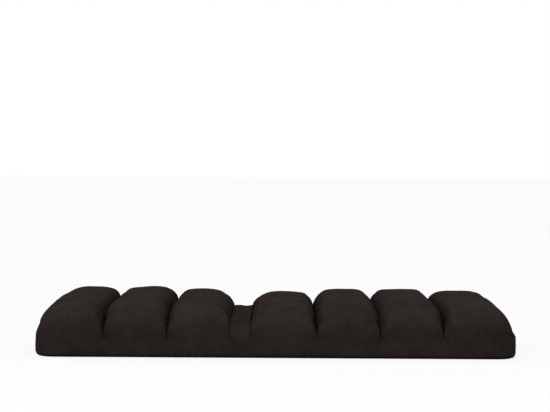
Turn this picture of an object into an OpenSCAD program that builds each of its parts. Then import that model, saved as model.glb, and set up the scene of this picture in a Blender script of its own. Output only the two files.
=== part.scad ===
// Folding floor chair: a quilted floor mattress with a ratchet hinge between seat and back
// and a stiff friction hinge at the head. It lies flat here, as it is stored and shipped.
// +X runs from the head end to the front of the seat, +Z is up, and the origin is on the
// floor under the middle of the chair.

/* [Overall] */
// Width of the chair
chair_w = 540; // [460:1:620]
// Length of the seat, from the hinge line to the front end
seat_l = 643; // [600:1:720]
// Length of the back, from the hinge line to the head crease
back_l = 315; // [300:1:360]
// Length of the head section, from the head crease to its end
head_l = 162; // [145:1:190]
// Height of the channels' crowns above the floor
crown_h = 130; // [110:1:150]
// Height of the flat base that the channels are sewn to
base_h = 47; // [45:1:52]
// Radius of the corners, seen from above
corner_r = 48; // [30:1:70]

/* [Channels] */
// Width of the valley over the main hinge
valley_w = 45; // [44:1:60]
// Rise of the cloth over the main hinge above the top of the base
valley_rise = 36; // [33:1:48]
// Length of the upper back channel
back_upper_l = 146; // [120:1:170]
// Length of the second seat channel, counted from the hinge
seat_second_l = 146; // [120:1:165]
// Length of the third seat channel
seat_third_l = 145; // [120:1:165]
// Length of the front seat channel
seat_front_l = 173; // [130:1:190]
// How far the sides are drawn in at a sewn crease
drawn_in = 3; // [0:0.5:8]

/* [Cover and foam] */
// Thickness of the side band's padded cloth
band_t = 2; // [1:0.1:3]
// Thickness of the non-slip underside cloth
under_t = 1.2; // [0.8:0.1:2]
// Thickness of the backing cloth under the channels
backing_t = 1; // [0.5:0.1:1.5]
// Thickness of the cloth over the main hinge
valley_t = 2; // [1:0.1:3]
// Half of the gap in the base at the main hinge
fold_gap = 10; // [8:0.5:12]
// Half of the gap in the base at the head crease
head_gap = 6; // [6:0.5:9]

/* [Frame] */
// Outer diameter of the frame's steel tube
tube_d = 19; // [16:0.5:20]
// Wall of the frame's steel tube
tube_wall = 1.2; // [1:0.1:2]
// Outer diameter of the cross bars
bar_d = 16; // [12:0.5:16]
// Height of the tubes' middle above the floor
tube_z = 27; // [26:0.5:28]
// Distance from a side rail's middle to the chair's side
rail_inset = 48; // [42:1:60]
// Distance from the front tube's middle to the front end
front_inset = 60; // [50:1:90]
// Distance from the head tube's middle to the head end
head_inset = 58; // [50:1:62]
// Radius of the seat frame's bends, at the tube's middle
bend_r = 50; // [35:1:70]
// Radius of the head frame's bends, at the tube's middle
head_bend_r = 36; // [30:1:40]
// Distance from a hinge pivot to the end of a rail
rail_start = 36; // [34:1:40]
// Distance from the head crease to the end of a rail
head_rail_start = 28; // [26:1:30]

/* [Ratchet hinge] */
// Height of the main pivot above the top of the base
pivot_rise = 5; // [4:0.5:7]
// Radius over the ratchet's teeth
tooth_tip_r = 18; // [17.5:0.1:18.5]
// Depth of a ratchet tooth
tooth_depth = 2.2; // [1.8:0.1:2.5]
// Notches between lying flat and folded shut
notches = 14; // [10:1:14]
// Teeth that a whole turn would hold
teeth_per_turn = 32; // [32:1:36]
// Thickness of the toothed disc and of the pawl
disc_t = 4; // [3:0.5:5]
// Radius of a hinge plate round the pivot
plate_r = 19; // [18.8:0.1:19.5]
// Thickness of a hinge plate
plate_t = 2; // [1.5:0.1:2.5]
// Thickness of the nylon washers beside the disc
washer_t = 0.8; // [0.6:0.1:1]
// Radius of the pivot rivet's shank
pivot_r = 5; // [4:0.5:6]
// Radius of a rivet head
rivet_head_r = 9; // [8:0.5:10]
// Thickness of a rivet head
rivet_head_t = 2; // [1.5:0.1:2.5]
// Radius of the pawl's pin
pawl_pin_r = 2.5; // [2:0.5:3]
// Angle through which the pawl is lifted off the teeth
pawl_lift = 6; // [5:0.5:7]

/* [Head hinge] */
// Radius of an arm round the head pivot
head_arm_r = 12; // [10:0.5:12]
// Thickness of the foam over the arms of the head hinge
head_arm_cover = 1; // [0.5:0.5:3]
// Thickness of an arm of the head hinge
head_arm_t = 2.5; // [2:0.1:3]
// Radius of the head rivet's shank
head_rivet_r = 4; // [3:0.5:4]
// Thickness of the friction washer between the arms
friction_washer_t = 0.6; // [0.5:0.1:1]

/* [Hidden] */
$fn = 48;

// Fits
cloth_clear = 0.3;
running_clear = 0.05;
weld_clear = 0.1;
seam_gap = 0.6;
side_clear = 0.1;
overrun = 1;

// Main lines along X
chair_l = seat_l + back_l + head_l;
head_end_x = -chair_l / 2;
head_x = head_end_x + head_l;
fold_x = head_x + back_l;
front_x = chair_l / 2;
valley_back_x = fold_x - valley_w / 2;
valley_seat_x = fold_x + valley_w / 2;
back_seam_x = head_x + back_upper_l;
seat_front_seam_x = front_x - seat_front_l;
seat_third_seam_x = seat_front_seam_x - seat_third_l;
seat_second_seam_x = seat_third_seam_x - seat_second_l;

// Main lines across and up
half_w = chair_w / 2;
rail_y = half_w - rail_inset;
foam_half_w = half_w - band_t - cloth_clear;
tube_r = tube_d / 2;
bar_r = bar_d / 2;
pivot_z = base_h + pivot_rise;
foam_top_z = base_h - backing_t;

// Shape of a channel: how square its arches are along and across the chair. At a crease it
// stands against the next channel with a wall, which gets higher toward the sides, where the
// arch above it gets rounder. Every other end has a wall share, a power for its crown and one
// for its foot.
channel_power = 4;
side_power = 2.2;
wall_power = 60;
wall_foot_power = 2;
crease_wall_share = 0.25;
side_wall_share = 0.58;
side_start_share = 0.35;
valley_end = [0.5, 2.05, 2.05];
head_end = [0, 3, 1.5];
front_end = [0, 2.6, 0.95];
width_power = 6;
drawn_power = 8;
head_crown_share = 0.57;
front_crown_share = 0.58;

// How far the crown of a channel stays below the highest ones
lower_drop = 3;
rear_drop = 8;
second_drop = 2;
third_drop = 1;
front_drop = 4;
channel_steps = 12;
width_steps = 22;
valley_power = 6;
valley_steps = 24;

// Share of a round end's radius at which a plate's straight edges start
web_share = 0.8;

// Ratchet
pitch_deg = 360 / teeth_per_turn;
tooth_root_r = tooth_tip_r - tooth_depth;
pawl_deg = -22;
pawl_pin_deg = pawl_deg - 57;
pawl_reach = 13;
pawl_pin_dist = tooth_tip_r + pawl_reach;
pawl_pin_x = pawl_pin_dist * cos(pawl_pin_deg);
pawl_pin_z = pawl_pin_dist * sin(pawl_pin_deg);
pawl_hub_wall = 2;
pawl_hub_r = pawl_pin_r + pawl_hub_wall;
tooth_clear = 0.3;
side_step = disc_t / 2 + washer_t + 2 * side_clear;
plate_out = side_step + plate_t;
tail_proud = 1.5;
tail_h = tube_d + 2 * tail_proud;
tail_in = 28;
pocket_clear = 1.5;
tail_low = tube_z - tail_h / 2;
tail_high = tube_z + tail_h / 2;
pocket_half = plate_out + rivet_head_t + pocket_clear;
pocket_low = tail_low - pocket_clear;

// Head hinge
lap_gap = friction_washer_t + 2 * side_clear;
head_tail_in = 16;
head_rivet_brim = 3.5;
head_pocket_half = lap_gap / 2 + head_arm_t + rivet_head_t + pocket_clear;
head_rivet_head_r = head_rivet_r + head_rivet_brim;
head_pivot_z = foam_top_z - head_arm_r - head_arm_cover;

// A point at a radius and an angle round the pivot
function polar(r, deg) = [r * cos(deg), r * sin(deg)];

// Height share of an arch at t, from -1 to 1, with a power for its crown and one for its foot
function bow(t, crown, foot) = pow(max(0, 1 - pow(abs(t), crown)), 1 / foot);

// The same with one power, which gives it a vertical foot at each end
function arch(t, power) = bow(t, power, power);

// A smooth step from 0 to 1
function ease(s) = let (c = min(1, max(0, s))) c * c * (3 - 2 * c);

// Inset of a rounded corner at a distance from the end
function corner_inset(dist, r) = dist >= r ? 0 : r - sqrt(r * r - pow(r - dist, 2));

// The same on the left and on the right side
module both_sides() {
    children();
    mirror([0, 1, 0])
        children();
}

// A flat shape in X and Z, given a thickness along Y from y0 to y1
module plate_between(y0, y1) {
    translate([0, y1, 0])
        rotate([90, 0, 0])
            linear_extrude(y1 - y0)
                children();
}

// A round bar along Y, at x and z of the pivot's frame
module cross_pin(r, y0, y1) {
    translate([0, y1, 0])
        rotate([90, 0, 0])
            cylinder(r = r, h = y1 - y0);
}

// Outline of a section with two rounded corners at its far end, running along +X from 0
module end_outline(l, hw, r) {
    translate([0, -hw])
        square([l - r, 2 * hw]);
    translate([0, r - hw])
        square([l, 2 * (hw - r)]);
    for (side = [-1, 1])
        translate([l - r, side * (hw - r)])
            circle(r = r);
}

// Outline of a section with square ends
module straight_outline(l, hw) {
    translate([0, -hw])
        square([l, 2 * hw]);
}

// One side rail of a frame along +X, on the left side
module rail(l, r) {
    translate([0, rail_y, 0])
        rotate([0, 90, 0])
            cylinder(r = r, h = l);
}

// A U of tube: two rails from 0, two bends and a tube across at l
module u_tube(l, bend, r, extra) {
    both_sides() {
        translate([-extra, 0, 0])
            rail(l - bend + extra, r);
        translate([l - bend, rail_y - bend, 0])
            rotate_extrude(angle = 90)
                translate([bend, 0])
                    circle(r = r);
    }
    translate([l, bend - rail_y, 0])
        rotate([-90, 0, 0])
            cylinder(r = r, h = 2 * (rail_y - bend));
}

// A bar across the frame, coped against both rails
module cross_bar(x, r) {
    translate([x, -rail_y, tube_z])
        rotate([-90, 0, 0])
            cylinder(r = r, h = 2 * rail_y);
}

// Frames

seat_frame_x = fold_x + rail_start;
seat_frame_l = front_x - front_inset - seat_frame_x;
head_frame_x = head_x - head_rail_start;
head_frame_l = head_frame_x - head_end_x - head_inset;
back_rail_x = head_x + head_rail_start;
back_rail_l = fold_x - rail_start - back_rail_x;
seat_bar_shares = [0.12, 0.5];
back_bar_shares = [0.14, 0.84];

module seat_path(r, extra) {
    translate([seat_frame_x, 0, tube_z])
        u_tube(seat_frame_l, bend_r, r, extra);
}

module head_path(r, extra) {
    translate([head_frame_x, 0, tube_z])
        mirror([1, 0, 0])
            u_tube(head_frame_l, head_bend_r, r, extra);
}

module back_path(r, extra) {
    both_sides()
        translate([back_rail_x - extra, 0, tube_z])
            rail(back_rail_l + 2 * extra, r);
}

module seat_frame() {
    color("#2b2b2d")
        difference() {
            seat_path(tube_r, 0);
            seat_path(tube_r - tube_wall, overrun);
            fold_plate_slots();
        }
}

module seat_cross_bars() {
    color("#2b2b2d")
        for (share = seat_bar_shares)
            difference() {
                cross_bar(seat_frame_x + share * seat_frame_l, bar_r);
                cross_bar(seat_frame_x + share * seat_frame_l, bar_r - tube_wall);
                seat_path(tube_r + weld_clear, overrun);
            }
}

module back_side_rails() {
    color("#2b2b2d")
        difference() {
            back_path(tube_r, 0);
            back_path(tube_r - tube_wall, overrun);
            disc_arm_slots();
            head_arm_slots(back_rail_x - overrun, head_tail_in + overrun, 1);
        }
}

module back_cross_bars() {
    color("#2b2b2d")
        for (share = back_bar_shares)
            difference() {
                cross_bar(back_rail_x + share * back_rail_l, bar_r);
                cross_bar(back_rail_x + share * back_rail_l, bar_r - tube_wall);
                back_path(tube_r + weld_clear, overrun);
            }
}

module head_frame() {
    color("#2b2b2d")
        difference() {
            head_path(tube_r, 0);
            head_path(tube_r - tube_wall, overrun);
            head_arm_slots(head_frame_x - head_tail_in, head_tail_in + overrun, -1);
        }
}

// Slots in the seat's rails for the tails of the hinge plates
module fold_plate_slots() {
    both_sides()
        for (y = [rail_y - plate_out, rail_y + side_step])
            translate([seat_frame_x - overrun, y, tail_low - overrun])
                cube([tail_in + overrun, plate_t, tail_h + 2 * overrun]);
}

// Slots in the back's rails for the tails of the toothed discs
module disc_arm_slots() {
    both_sides()
        translate([fold_x - rail_start - tail_in, rail_y - disc_t / 2, tail_low - overrun])
            cube([tail_in + overrun, disc_t, tail_h + 2 * overrun]);
}

// Slots for the tails of the head hinge: side 1 is the outer arm, -1 the inner one
module head_arm_slots(x, l, side) {
    y = side > 0 ? rail_y + lap_gap / 2 : rail_y - lap_gap / 2 - head_arm_t;
    both_sides()
        translate([x, y, tube_z - tube_r - overrun])
            cube([l, head_arm_t, tube_d + 2 * overrun]);
}

// Foam: a lower and an upper slab, grooved for the tubes and cut out round the hinges

module main_pockets(x, l) {
    both_sides()
        translate([x, rail_y - pocket_half, pocket_low])
            cube([l, 2 * pocket_half, base_h]);
}

module head_pockets(x, l) {
    both_sides()
        translate([x, rail_y - head_pocket_half, tube_z - tube_r - pocket_clear])
            cube([l, 2 * head_pocket_half, base_h]);
}

module seat_hollows() {
    seat_path(tube_r + cloth_clear, overrun);
    for (share = seat_bar_shares)
        cross_bar(seat_frame_x + share * seat_frame_l, bar_r + cloth_clear);
    main_pockets(fold_x, rail_start + tail_in + overrun);
}

module back_hollows() {
    back_path(tube_r + cloth_clear, overrun);
    for (share = back_bar_shares)
        cross_bar(back_rail_x + share * back_rail_l, bar_r + cloth_clear);
    main_pockets(fold_x - rail_start - tail_in - overrun, rail_start + tail_in + overrun);
    head_pockets(head_x, head_rail_start + head_tail_in + overrun);
}

module head_hollows() {
    head_path(tube_r + cloth_clear, overrun);
    head_pockets(head_x - head_rail_start - head_tail_in - overrun,
        head_rail_start + head_tail_in + overrun);
}

module seat_slab(inset) {
    translate([fold_x + fold_gap, 0])
        end_outline(seat_l - fold_gap - inset, half_w - inset, corner_r - inset);
}

module head_slab(inset) {
    translate([head_x - head_gap, 0])
        mirror([1, 0])
            end_outline(head_l - head_gap - inset, half_w - inset, corner_r - inset);
}

module back_slab(inset) {
    translate([head_x + head_gap, 0])
        straight_outline(back_l - head_gap - fold_gap, half_w - inset);
}

foam_inset = band_t + cloth_clear;

module layer(z0, z1) {
    translate([0, 0, z0])
        linear_extrude(z1 - z0)
            children();
}

module seat_lower_foam() {
    color("#d9cf9c")
        difference() {
            layer(under_t, tube_z)
                seat_slab(foam_inset);
            seat_hollows();
        }
}

module seat_upper_foam() {
    color("#e0d7a8")
        difference() {
            layer(tube_z, foam_top_z)
                seat_slab(foam_inset);
            seat_hollows();
        }
}

module back_lower_foam() {
    color("#d9cf9c")
        difference() {
            layer(under_t, tube_z)
                back_slab(foam_inset);
            back_hollows();
        }
}

module back_upper_foam() {
    color("#e0d7a8")
        difference() {
            layer(tube_z, foam_top_z)
                back_slab(foam_inset);
            back_hollows();
        }
}

module head_lower_foam() {
    color("#d9cf9c")
        difference() {
            layer(under_t, tube_z)
                head_slab(foam_inset);
            head_hollows();
        }
}

module head_upper_foam() {
    color("#e0d7a8")
        difference() {
            layer(tube_z, foam_top_z)
                head_slab(foam_inset);
            head_hollows();
        }
}

// Cloth round the base

module seat_backing_cloth() {
    color("#4a4846")
        difference() {
            layer(foam_top_z, base_h)
                seat_slab(foam_inset);
            main_pockets(fold_x, rail_start);
        }
}

module back_backing_cloth() {
    color("#4a4846")
        difference() {
            layer(foam_top_z, base_h)
                back_slab(foam_inset);
            main_pockets(fold_x - rail_start, rail_start);
        }
}

module head_backing_cloth() {
    color("#4a4846")
        layer(foam_top_z, base_h)
            head_slab(foam_inset);
}

module seat_side_band() {
    color("#3a302c")
        difference() {
            layer(0, base_h)
                seat_slab(0);
            layer(-overrun, base_h + overrun)
                seat_slab(band_t);
            translate([fold_x + fold_gap - overrun, band_t - half_w, -overrun])
                cube([2 * overrun, chair_w - 2 * band_t, base_h + 2 * overrun]);
        }
}

module head_side_band() {
    color("#3a302c")
        difference() {
            layer(0, base_h)
                head_slab(0);
            layer(-overrun, base_h + overrun)
                head_slab(band_t);
            translate([head_x - head_gap - overrun, band_t - half_w, -overrun])
                cube([2 * overrun, chair_w - 2 * band_t, base_h + 2 * overrun]);
        }
}

module back_side_bands() {
    color("#3a302c")
        both_sides()
            translate([head_x + head_gap, half_w - band_t, 0])
                cube([back_l - head_gap - fold_gap, band_t, base_h]);
}

module seat_underside_cloth() {
    color("#2a2a2b")
        layer(0, under_t)
            seat_slab(foam_inset);
}

module back_underside_cloth() {
    color("#2a2a2b")
        layer(0, under_t)
            back_slab(foam_inset);
}

module head_underside_cloth() {
    color("#2a2a2b")
        layer(0, under_t)
            head_slab(foam_inset);
}

// Channels: a crowned pad of fibre between two sewn creases

// Height share of a wall and of the arch above it
function walled(t, wall, crown, foot) =
    wall * bow(t, wall_power, wall_foot_power) + (1 - wall) * bow(t, crown, foot);

// The same at a crease, at t along the channel and v across it
function creased(t, v) = let (
    side = ease((abs(v) - side_start_share) / (1 - side_start_share)),
    power = channel_power + (side_power - channel_power) * side)
    walled(t, crease_wall_share + (side_wall_share - crease_wall_share) * side, power, power);

// Height share of a channel at t along it and v across it, on the side of the given end
function channel_share(t, v, end) =
    len(end) > 0 ? walled(t, end[0], end[1], end[2]) : creased(t, v);

// x0 and x1 are its ends, crown the share of its length where it is highest, drop how far it
// stays low, ends the shapes of its two ends, empty for a crease, and r0 and r1 their corner
// radius seen from above
module channel(x0, x1, crown, drop, ends, r0, r1) {
    n = channel_steps;
    m = width_steps;
    xc = x0 + crown * (x1 - x0);
    ts = [for (i = [0 : n]) -cos(180 * i / n)];
    vs = [for (j = [0 : m]) -cos(180 * j / m)];
    xs = [for (t = ts) t < 0 ? xc + t * (xc - x0) : xc + t * (x1 - xc)];
    insets = [for (i = [0 : n])
        ts[i] < 0
            ? (r0 > 0 ? corner_inset(xs[i] - x0, r0) : drawn_in * pow(-ts[i], drawn_power))
            : (r1 > 0 ? corner_inset(x1 - xs[i], r1) : drawn_in * pow(ts[i], drawn_power))];
    rise = crown_h - drop - base_h;
    grid = [for (i = [0 : n]) for (j = [0 : m])
        [xs[i], vs[j] * (half_w - insets[i]),
            base_h + rise * arch(vs[j], width_power)
                * channel_share(ts[i], vs[j], ts[i] < 0 ? ends[0] : ends[1])]];
    centre = (n + 1) * (m + 1);
    top = [for (i = [0 : n - 1]) for (j = [0 : m - 1]) for (half = [0, 1])
        let (a = i * (m + 1) + j, b = a + m + 1, c = b + 1, d = a + 1)
        j < m / 2
            ? (half == 0 ? [a, d, c] : [a, c, b])
            : (half == 0 ? [a, d, b] : [d, c, b])];
    edge = concat(
        [for (i = [0 : n - 1]) i * (m + 1)],
        [for (j = [0 : m - 1]) n * (m + 1) + j],
        [for (i = [n : -1 : 1]) i * (m + 1) + m],
        [for (j = [m : -1 : 1]) j]);
    floor_faces = [for (k = [0 : len(edge) - 1])
        [centre, edge[k], edge[(k + 1) % len(edge)]]];
    polyhedron(
        points = concat(grid, [[xc, 0, base_h]]),
        faces = concat(top, floor_faces),
        convexity = 4);
}

middle_share = 0.5;

module seat_channel_rear() {
    color("#40362f")
        channel(valley_seat_x, seat_second_seam_x - seam_gap / 2, middle_share, rear_drop,
            [valley_end, []], 0, 0);
}

module seat_channel_second() {
    color("#3d332d")
        channel(seat_second_seam_x + seam_gap / 2, seat_third_seam_x - seam_gap / 2,
            middle_share, second_drop, [[], []], 0, 0);
}

module seat_channel_third() {
    color("#40362f")
        channel(seat_third_seam_x + seam_gap / 2, seat_front_seam_x - seam_gap / 2,
            middle_share, third_drop, [[], []], 0, 0);
}

module seat_channel_front() {
    color("#3d332d")
        channel(seat_front_seam_x + seam_gap / 2, front_x, front_crown_share, front_drop,
            [[], front_end], 0, corner_r);
}

module back_channel_lower() {
    color("#40362f")
        channel(back_seam_x + seam_gap / 2, valley_back_x, middle_share, lower_drop,
            [[], valley_end], 0, 0);
}

module back_channel_upper() {
    color("#3d332d")
        channel(head_x + seam_gap / 2, back_seam_x - seam_gap / 2, middle_share, 0,
            [[], []], 0, 0);
}

module head_channel() {
    color("#40362f")
        channel(head_end_x, head_x - seam_gap / 2, head_crown_share, 0,
            [head_end, []], corner_r, 0);
}

// Ratchet hinge, drawn round its pivot in X and Z

module at_fold() {
    translate([fold_x, 0, pivot_z])
        children();
}

tail_top = tail_high - pivot_z;
tail_bottom = tail_low - pivot_z;
plate_brim = 1.5;
plate_lobe_r = pawl_hub_r + plate_brim;
spring_pin_r = 1.5;
spring_pin_out = 8;
spring_pin_drop = 2.5;
spring_pin = [plate_r + spring_pin_out, tail_top - spring_pin_drop];

module seat_plate_outline() {
    circle(r = plate_r);
    translate([pawl_pin_x, pawl_pin_z])
        circle(r = plate_lobe_r);
    polygon([
        polar(plate_r * web_share, -10),
        polar(plate_r * web_share, -150),
        [pawl_pin_x - plate_lobe_r * web_share, pawl_pin_z],
        [pawl_pin_x, pawl_pin_z - plate_lobe_r * web_share],
        [rail_start, tail_bottom],
        [rail_start + tail_in, tail_bottom],
        [rail_start + tail_in, tail_top],
        [rail_start - plate_t, tail_top]]);
}

module seat_plate_holes() {
    circle(r = pivot_r + running_clear);
    translate([pawl_pin_x, pawl_pin_z])
        circle(r = pawl_pin_r + running_clear);
    translate(spring_pin)
        circle(r = spring_pin_r + running_clear);
}

module seat_plate(y0) {
    at_fold()
        plate_between(y0, y0 + plate_t)
            difference() {
                seat_plate_outline();
                seat_plate_holes();
            }
}

module hinge_outer_plates() {
    color("#8d8f92")
        both_sides()
            seat_plate(rail_y + side_step);
}

module hinge_inner_plates() {
    color("#8d8f92")
        both_sides()
            seat_plate(rail_y - plate_out);
}

module hinge_pivot_rivets() {
    color("#b5b7ba")
        both_sides()
            at_fold() {
                cross_pin(pivot_r, rail_y - plate_out, rail_y + plate_out);
                cross_pin(rivet_head_r, rail_y + plate_out, rail_y + plate_out + rivet_head_t);
                cross_pin(rivet_head_r, rail_y - plate_out - rivet_head_t, rail_y - plate_out);
            }
}

module hinge_washers() {
    color("#e8e6df")
        both_sides()
            at_fold()
                for (y = [rail_y - side_step + side_clear, rail_y + disc_t / 2 + side_clear])
                    difference() {
                        cross_pin(rivet_head_r, y, y + washer_t);
                        cross_pin(pivot_r + running_clear, y - overrun, y + washer_t + overrun);
                    }
}

// Saw teeth from the first notch on; the rest of the rim is plain
module toothed_rim() {
    first = pawl_deg;
    last = first + (notches + 1) * pitch_deg;
    plain_steps = 20;
    teeth = [for (k = [0 : notches])
        each [polar(tooth_root_r, first + k * pitch_deg),
            polar(tooth_tip_r, first + (k + 1) * pitch_deg)]];
    plain = [for (k = [1 : plain_steps])
        polar(tooth_tip_r, last + k * (360 + first - last) / plain_steps)];
    polygon(concat(teeth, plain));
}

module disc_arm_outline() {
    polygon([
        polar(tooth_root_r, 190),
        [-rail_start + plate_t, tail_top],
        [-rail_start - tail_in, tail_top],
        [-rail_start - tail_in, tail_bottom],
        [-rail_start + plate_t, tail_bottom],
        polar(tooth_root_r, 262)]);
}

module ratchet_discs() {
    color("#6f7276")
        both_sides()
            at_fold()
                difference() {
                    plate_between(rail_y - disc_t / 2, rail_y + disc_t / 2) {
                        toothed_rim();
                        disc_arm_outline();
                    }
                    cross_pin(pivot_r + running_clear, rail_y - disc_t, rail_y + disc_t);
                }
}

// How far the pawl stands off the teeth's tips, at its nose, waist, neck and heel
nose_out = 3;
back_out = 5.5;
heel_out = 6.5;
neck_out = 4;
waist_out = 1.2;
lip_out = 0.6;
tip_turn = 0.8;
nose_share = 0.84;
waist_turn = 25;
neck_turn = 50;
back_turn = 6;
pawl_heel = polar(tooth_tip_r + heel_out, pawl_deg - waist_turn);
pawl_hub_side = [pawl_pin_x + pawl_hub_r * web_share, pawl_pin_z];

// The pawl in mesh: its lower edge takes the load of the tooth under it
module pawl_outline() {
    tip_deg = pawl_deg + tip_turn;
    nose_deg = pawl_deg + nose_share * pitch_deg;
    polygon([
        polar(tooth_root_r + tooth_clear, tip_deg),
        polar(tooth_tip_r + tooth_clear, nose_deg),
        polar(tooth_tip_r + nose_out, nose_deg),
        polar(tooth_tip_r + back_out, pawl_deg - back_turn),
        pawl_heel,
        pawl_hub_side,
        [pawl_pin_x - pawl_hub_r * web_share, pawl_pin_z],
        polar(tooth_tip_r + neck_out, pawl_deg - neck_turn),
        polar(tooth_tip_r + waist_out, pawl_deg - waist_turn),
        polar(tooth_tip_r + lip_out, tip_deg)]);
    translate([pawl_pin_x, pawl_pin_z])
        circle(r = pawl_hub_r);
}

// Lifts a shape of the pawl off the teeth, round its pin
module lifted() {
    translate([pawl_pin_x, pawl_pin_z])
        rotate(-pawl_lift)
            translate([-pawl_pin_x, -pawl_pin_z])
                children();
}

module pawls() {
    color("#4d5054")
        both_sides()
            at_fold()
                plate_between(rail_y - disc_t / 2, rail_y + disc_t / 2)
                    lifted()
                        difference() {
                            pawl_outline();
                            translate([pawl_pin_x, pawl_pin_z])
                                circle(r = pawl_pin_r + running_clear);
                        }
}

module pawl_pins() {
    color("#b5b7ba")
        both_sides()
            at_fold() {
                translate([pawl_pin_x, 0, pawl_pin_z])
                    cross_pin(pawl_pin_r, rail_y - plate_out, rail_y + plate_out);
                translate([spring_pin[0], 0, spring_pin[1]])
                    cross_pin(spring_pin_r, rail_y - plate_out, rail_y + plate_out);
            }
}

// A leaf with an eye round the spring pin, whose end presses on the pawl's back
leaf_t = 0.6;
leaf_side_clear = 0.5;
leaf_back_off = 1.5;
leaf_eye_r = spring_pin_r + running_clear + leaf_t;
leaf_half_w = disc_t / 2 - leaf_side_clear;

// The middle of the pawl's back when it is lifted
function turned(p, deg) = [
    p[0] * cos(deg) - p[1] * sin(deg),
    p[0] * sin(deg) + p[1] * cos(deg)];
pawl_pin = [pawl_pin_x, pawl_pin_z];
pawl_back = pawl_pin + turned((pawl_heel + pawl_hub_side) / 2 - pawl_pin, -pawl_lift);
leaf_run = pawl_back - spring_pin;

module pawl_springs() {
    color("#c9cbce")
        both_sides()
            at_fold()
                plate_between(rail_y - leaf_half_w, rail_y + leaf_half_w)
                    translate(spring_pin)
                        difference() {
                            union() {
                                circle(r = leaf_eye_r);
                                rotate(atan2(leaf_run[1], leaf_run[0]))
                                    translate([0, -leaf_t / 2])
                                        square([norm(leaf_run) - leaf_back_off, leaf_t]);
                            }
                            circle(r = spring_pin_r + running_clear);
                        }
}

// Head hinge: two arms lapped over a friction washer

module at_head() {
    translate([head_x, 0, head_pivot_z])
        children();
}

// dir is 1 for the arm that runs to the back, -1 for the one that runs to the head
module head_arm(dir, y0) {
    low = tube_z - tube_r - head_pivot_z;
    high = tube_z + tube_r - head_pivot_z;
    at_head()
        plate_between(y0, y0 + head_arm_t)
            difference() {
                union() {
                    circle(r = head_arm_r);
                    polygon([
                        [0, head_arm_r * web_share],
                        [dir * head_rail_start, high],
                        [dir * (head_rail_start + head_tail_in), high],
                        [dir * (head_rail_start + head_tail_in), low],
                        [dir * head_rail_start, low],
                        [0, -head_arm_r * web_share]]);
                }
                circle(r = head_rivet_r + running_clear);
            }
}

module head_hinge_back_arms() {
    color("#8d8f92")
        both_sides()
            head_arm(1, rail_y + lap_gap / 2);
}

module head_hinge_head_arms() {
    color("#6f7276")
        both_sides()
            head_arm(-1, rail_y - lap_gap / 2 - head_arm_t);
}

head_stack = lap_gap / 2 + head_arm_t;

module head_hinge_rivets() {
    color("#b5b7ba")
        both_sides()
            at_head() {
                cross_pin(head_rivet_r, rail_y - head_stack - side_clear, rail_y + head_stack);
                cross_pin(head_rivet_head_r, rail_y + head_stack,
                    rail_y + head_stack + rivet_head_t);
                cross_pin(head_rivet_head_r, rail_y - head_stack - side_clear - rivet_head_t,
                    rail_y - head_stack - side_clear);
            }
}

module head_friction_washers() {
    y = rail_y - friction_washer_t / 2;
    color("#e8e6df")
        both_sides()
            at_head()
                difference() {
                    cross_pin(head_arm_r - side_clear, y, y + friction_washer_t);
                    cross_pin(head_rivet_r + running_clear, y - overrun,
                        y + friction_washer_t + overrun);
                }
}

// Cloth that crosses a fold

// The valley's cloth arches over the hinges and comes down to the side bands
module fold_top_cloth() {
    hw = half_w - band_t;
    vs = [for (j = [0 : valley_steps]) cos(180 * j / valley_steps)];
    upper = [for (v = vs) [v * hw, base_h + valley_rise * pow(1 - pow(abs(v), valley_power), 0.5)]];
    lower = [for (j = [valley_steps - 1 : -1 : 1])
        [upper[j][0] * (1 - valley_t / hw), upper[j][1] - valley_t]];
    color("#38302b")
        translate([valley_back_x + cloth_clear, 0, 0])
            rotate([90, 0, 90])
                linear_extrude(valley_w - 2 * cloth_clear)
                    polygon(concat(upper, lower));
}

module side_gussets(x, gap) {
    color("#38302b")
        both_sides()
            translate([x - gap + cloth_clear, half_w - band_t, 0])
                cube([2 * (gap - cloth_clear), band_t, base_h]);
}

module underside_strip(x, gap) {
    color("#2a2a2b")
        translate([x - gap + cloth_clear, -foam_half_w, 0])
            cube([2 * (gap - cloth_clear), 2 * foam_half_w, under_t]);
}

module fold_side_gussets() {
    side_gussets(fold_x, fold_gap);
}

module fold_underside_strip() {
    underside_strip(fold_x, fold_gap);
}

module head_side_gussets() {
    side_gussets(head_x, head_gap);
}

module head_underside_strip() {
    underside_strip(head_x, head_gap);
}

seat_frame();
seat_cross_bars();
seat_lower_foam();
seat_upper_foam();
seat_backing_cloth();
seat_side_band();
seat_underside_cloth();
seat_channel_rear();
seat_channel_second();
seat_channel_third();
seat_channel_front();
back_side_rails();
back_cross_bars();
back_lower_foam();
back_upper_foam();
back_backing_cloth();
back_side_bands();
back_underside_cloth();
back_channel_lower();
back_channel_upper();
head_frame();
head_lower_foam();
head_upper_foam();
head_backing_cloth();
head_side_band();
head_underside_cloth();
head_channel();
hinge_outer_plates();
hinge_inner_plates();
hinge_pivot_rivets();
hinge_washers();
ratchet_discs();
pawls();
pawl_pins();
pawl_springs();
head_hinge_back_arms();
head_hinge_head_arms();
head_hinge_rivets();
head_friction_washers();
fold_top_cloth();
fold_side_gussets();
fold_underside_strip();
head_side_gussets();
head_underside_strip();
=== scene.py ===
"""Folding floor chair, lying flat: its quilted cover, its base and its inner works, in metres.

+X runs from the head end to the front of the seat, +Z is up. Every size is read from the frame or
kept as a field of the class that uses it.
"""

import logging
import math
from dataclasses import dataclass, field
from enum import Enum
from typing import Any, Callable, ClassVar, Optional, Sequence

import bmesh
import bpy
import numpy as np
from mathutils import Euler, Matrix, Vector


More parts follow.
